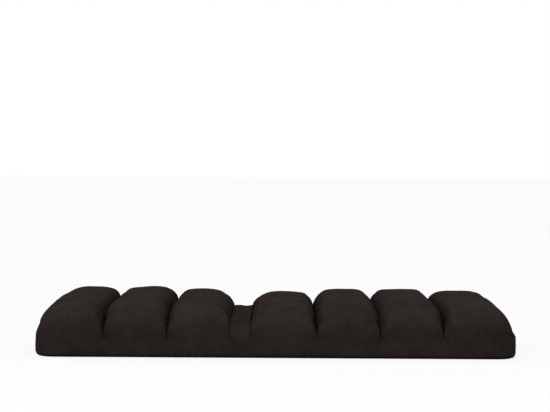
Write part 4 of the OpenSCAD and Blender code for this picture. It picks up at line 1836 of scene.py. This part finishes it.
class Studio:
    """Floor, light, backdrop and camera."""

    LENS_PX = 1610.0
    IMAGE_WIDTH_PX = 550
    SENSOR_MM = 36.0
    PLACE: Triple = (-0.0035, -3.97, 0.4575)
    PITCH_DEG = 1.62
    ROLL_DEG = 0.35
    FLOOR_REACH = 40.0
    FLOOR_BOUNCE = 0.5
    FLOOR_PAINT = 0.98
    FLOOR_WHITE_SHARE = 0.85
    WORLD_LIGHT = 0.76
    LAMPS = (
        Lamp("overhead", (0.2, 0.3, 3.2), size=3.0, power=4.0),
        Lamp("front", (-0.9, -3.6, 1.3), size=2.4, power=48.0),
    )

    def build(self) -> None:
        """Makes everything round the chair: a faint lamp overhead and a stronger one in front."""
        self._camera()
        self._floor()
        self._world()
        for lamp in self.LAMPS:
            lamp.build()
        bpy.context.scene.view_settings.view_transform = "Standard"

    def _camera(self) -> None:
        """Stands the camera at the photograph's place."""
        data = bpy.data.cameras.new("camera")
        data.sensor_width = self.SENSOR_MM
        data.lens = self.SENSOR_MM * self.LENS_PX / self.IMAGE_WIDTH_PX
        camera = stand("camera", data)
        camera.location = self.PLACE
        look = Euler((math.radians(90 - self.PITCH_DEG), 0, 0)).to_matrix()
        roll = Matrix.Rotation(math.radians(self.ROLL_DEG), 3, "Z")
        camera.rotation_euler = (look @ roll).to_euler()
        bpy.context.scene.camera = camera

    def _floor(self) -> None:
        """Lays a pale floor that keeps the chair's shadow."""
        signs = ((-1, -1, 0), (1, -1, 0), (1, 1, 0), (-1, 1, 0))
        floor = make_piece("floor", self.FLOOR_REACH * np.array(signs), [(0, 1, 2, 3)])
        graph = Graph("pale_floor")
        bounce, paint = (
            graph.add("ShaderNodeBsdfDiffuse", {}, {"Color": rgba((level,) * 3)}).value(0)
            for level in (self.FLOOR_BOUNCE, self.FLOOR_PAINT)
        )
        white = graph.add("ShaderNodeEmission", {}, {"Color": WHITE, "Strength": 1.0}).value(0)
        shown = graph.mix_shaders(self.FLOOR_WHITE_SHARE, paint, white)
        surface = graph.mix_shaders(self._seen(graph), bounce, shown)
        graph.add("ShaderNodeOutputMaterial", {}, {"Surface": surface})
        floor.data.materials.append(graph.material)

    def _world(self) -> None:
        """Lights the scene softly from all round, in front of a white background."""
        world = bpy.data.worlds.new("studio")
        world.use_nodes = True
        bpy.context.scene.world = world
        nodes = Nodes(world.node_tree)
        light, white = (
            nodes.add("ShaderNodeBackground", {}, {"Color": WHITE, "Strength": level}).value(0)
            for level in (self.WORLD_LIGHT, 1.0)
        )
        surface = nodes.mix_shaders(self._seen(nodes), light, white)
        nodes.add("ShaderNodeOutputWorld", {}, {"Surface": surface})

    @staticmethod
    def _seen(nodes: Nodes) -> Value:
        """Tells the rays that see a thing from those that light it.

        Args:
            nodes: the node tree that asks.

        Returns:
            1 for rays from the camera and for those in gloss and glass, 0 for the others.
        """
        path = nodes.add("ShaderNodeLightPath")
        total = path.value("Is Camera Ray") + path.value("Is Glossy Ray")
        total = total + path.value("Is Transmission Ray")
        return nodes.spread(total, 0.0, 1.0, (0.0, 1.0))


# The chair


CREASE, ROUND, VALLEY = End.CREASE, End.ROUND, End.VALLEY
CHANNELS = [
    Channel(
        "head_channel", "head", ROUND, CREASE, seed=11, crown_share=0.57, round_powers=(3.0, 1.5)
    ),
    Channel("back_channel_upper", "back", CREASE, CREASE, seed=23, keep=0.52),
    Channel("back_channel_lower", "back", CREASE, VALLEY, seed=37, keep=0.2, rise=-1 * MM),
    Channel("seat_channel_rear", "seat", VALLEY, CREASE, seed=41, keep=0.2, rise=-2.5 * MM),
    Channel("seat_channel_second", "seat", CREASE, CREASE, seed=53, keep=0.52, rise=-1.5 * MM),
    Channel("seat_channel_third", "seat", CREASE, CREASE, seed=67, keep=0.66),
    Channel("seat_channel_front", "seat", CREASE, ROUND, seed=71, crown_share=0.58),
]
SPINE_LAP = 0.5 * MM


def base_stretches() -> tuple[list[Stretch], list[FoamSlab]]:
    """Lays out the base: the seat, the back with the head, and the strip at the main fold.

    Returns:
        The stretches of the cover, and the foam slabs inside them.
    """
    corner = CHANNELS[0].corner
    seat_low, seat_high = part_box("seat_side_band")
    back_low, back_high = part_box("back_side_bands")
    half_width = seat_high.y
    profile = Profile(seat_high.z)
    seat = Outline(seat_low.x, seat_high.x, half_width, corner)
    back = Outline(back_high.x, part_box("head_side_band")[0].x, half_width, corner)
    back_only = Outline(back_high.x, back_low.x, half_width)
    spine = Outline(back_high.x - SPINE_LAP, seat_low.x + SPINE_LAP, half_width)
    channels = {channel.node: channel for channel in CHANNELS}
    seat_channels = ("seat_channel_rear", "seat_channel_second", "seat_channel_third")
    back_channels = ("back_channel_upper", "back_channel_lower")
    stretches = [
        Stretch(
            "seat", seat, profile, lambda piece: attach(piece, "seat"), seed=211,
            side_nodes=("seat_side_band",),
            under_nodes=("seat_underside_cloth",),
            creases=tuple(channels[node].x1 for node in seat_channels),
        ),
        Stretch(
            "back", back, profile, Joint.head_bend, seed=223,
            side_nodes=("back_side_bands", "head_side_band", "head_side_gussets"),
            under_nodes=("back_underside_cloth", "head_underside_cloth", "head_underside_strip"),
            creases=tuple(channels[node].x0 for node in back_channels),
        ),
        Stretch(
            "fold", spine, profile,
            lambda piece: Joint.fold_bend(piece, "fold_underside_strip"), seed=227,
            side_nodes=("fold_side_gussets",),
            under_nodes=("fold_underside_strip",),
        ),
    ]
    slabs = [
        FoamSlab(body + layer, body, outline, profile)
        for body, outline in (("seat", seat), ("back", back_only), ("head", back))
        for layer in ("_lower_foam", "_upper_foam")
    ]
    return stretches, slabs


def finish_inner_works() -> None:
    """Gives each CAD node that stays its finish."""
    for finish, slot, nodes in INNER_FINISHES:
        for node in nodes:
            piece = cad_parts[node]
            finish.paint(piece)
            log.info("%s: finished with %s", node, slot)


def main() -> None:
    """Builds the chair and the studio round it."""
    logging.basicConfig(level=logging.INFO, format="%(message)s")
    Studio().build()
    blanks = [channel.mesh() for channel in CHANNELS]
    Filling().blow(blanks)
    for channel, blank in zip(CHANNELS, blanks):
        channel.dress(blank)
    sewing, dots = Sewing(), GripDots()
    stretches, slabs = base_stretches()
    for stretch in stretches:
        stretch.build(sewing, dots)
    for slab in slabs:
        slab.build()
    Valley().build(sewing)
    finish_inner_works()


if __name__ == "__main__":
    main()
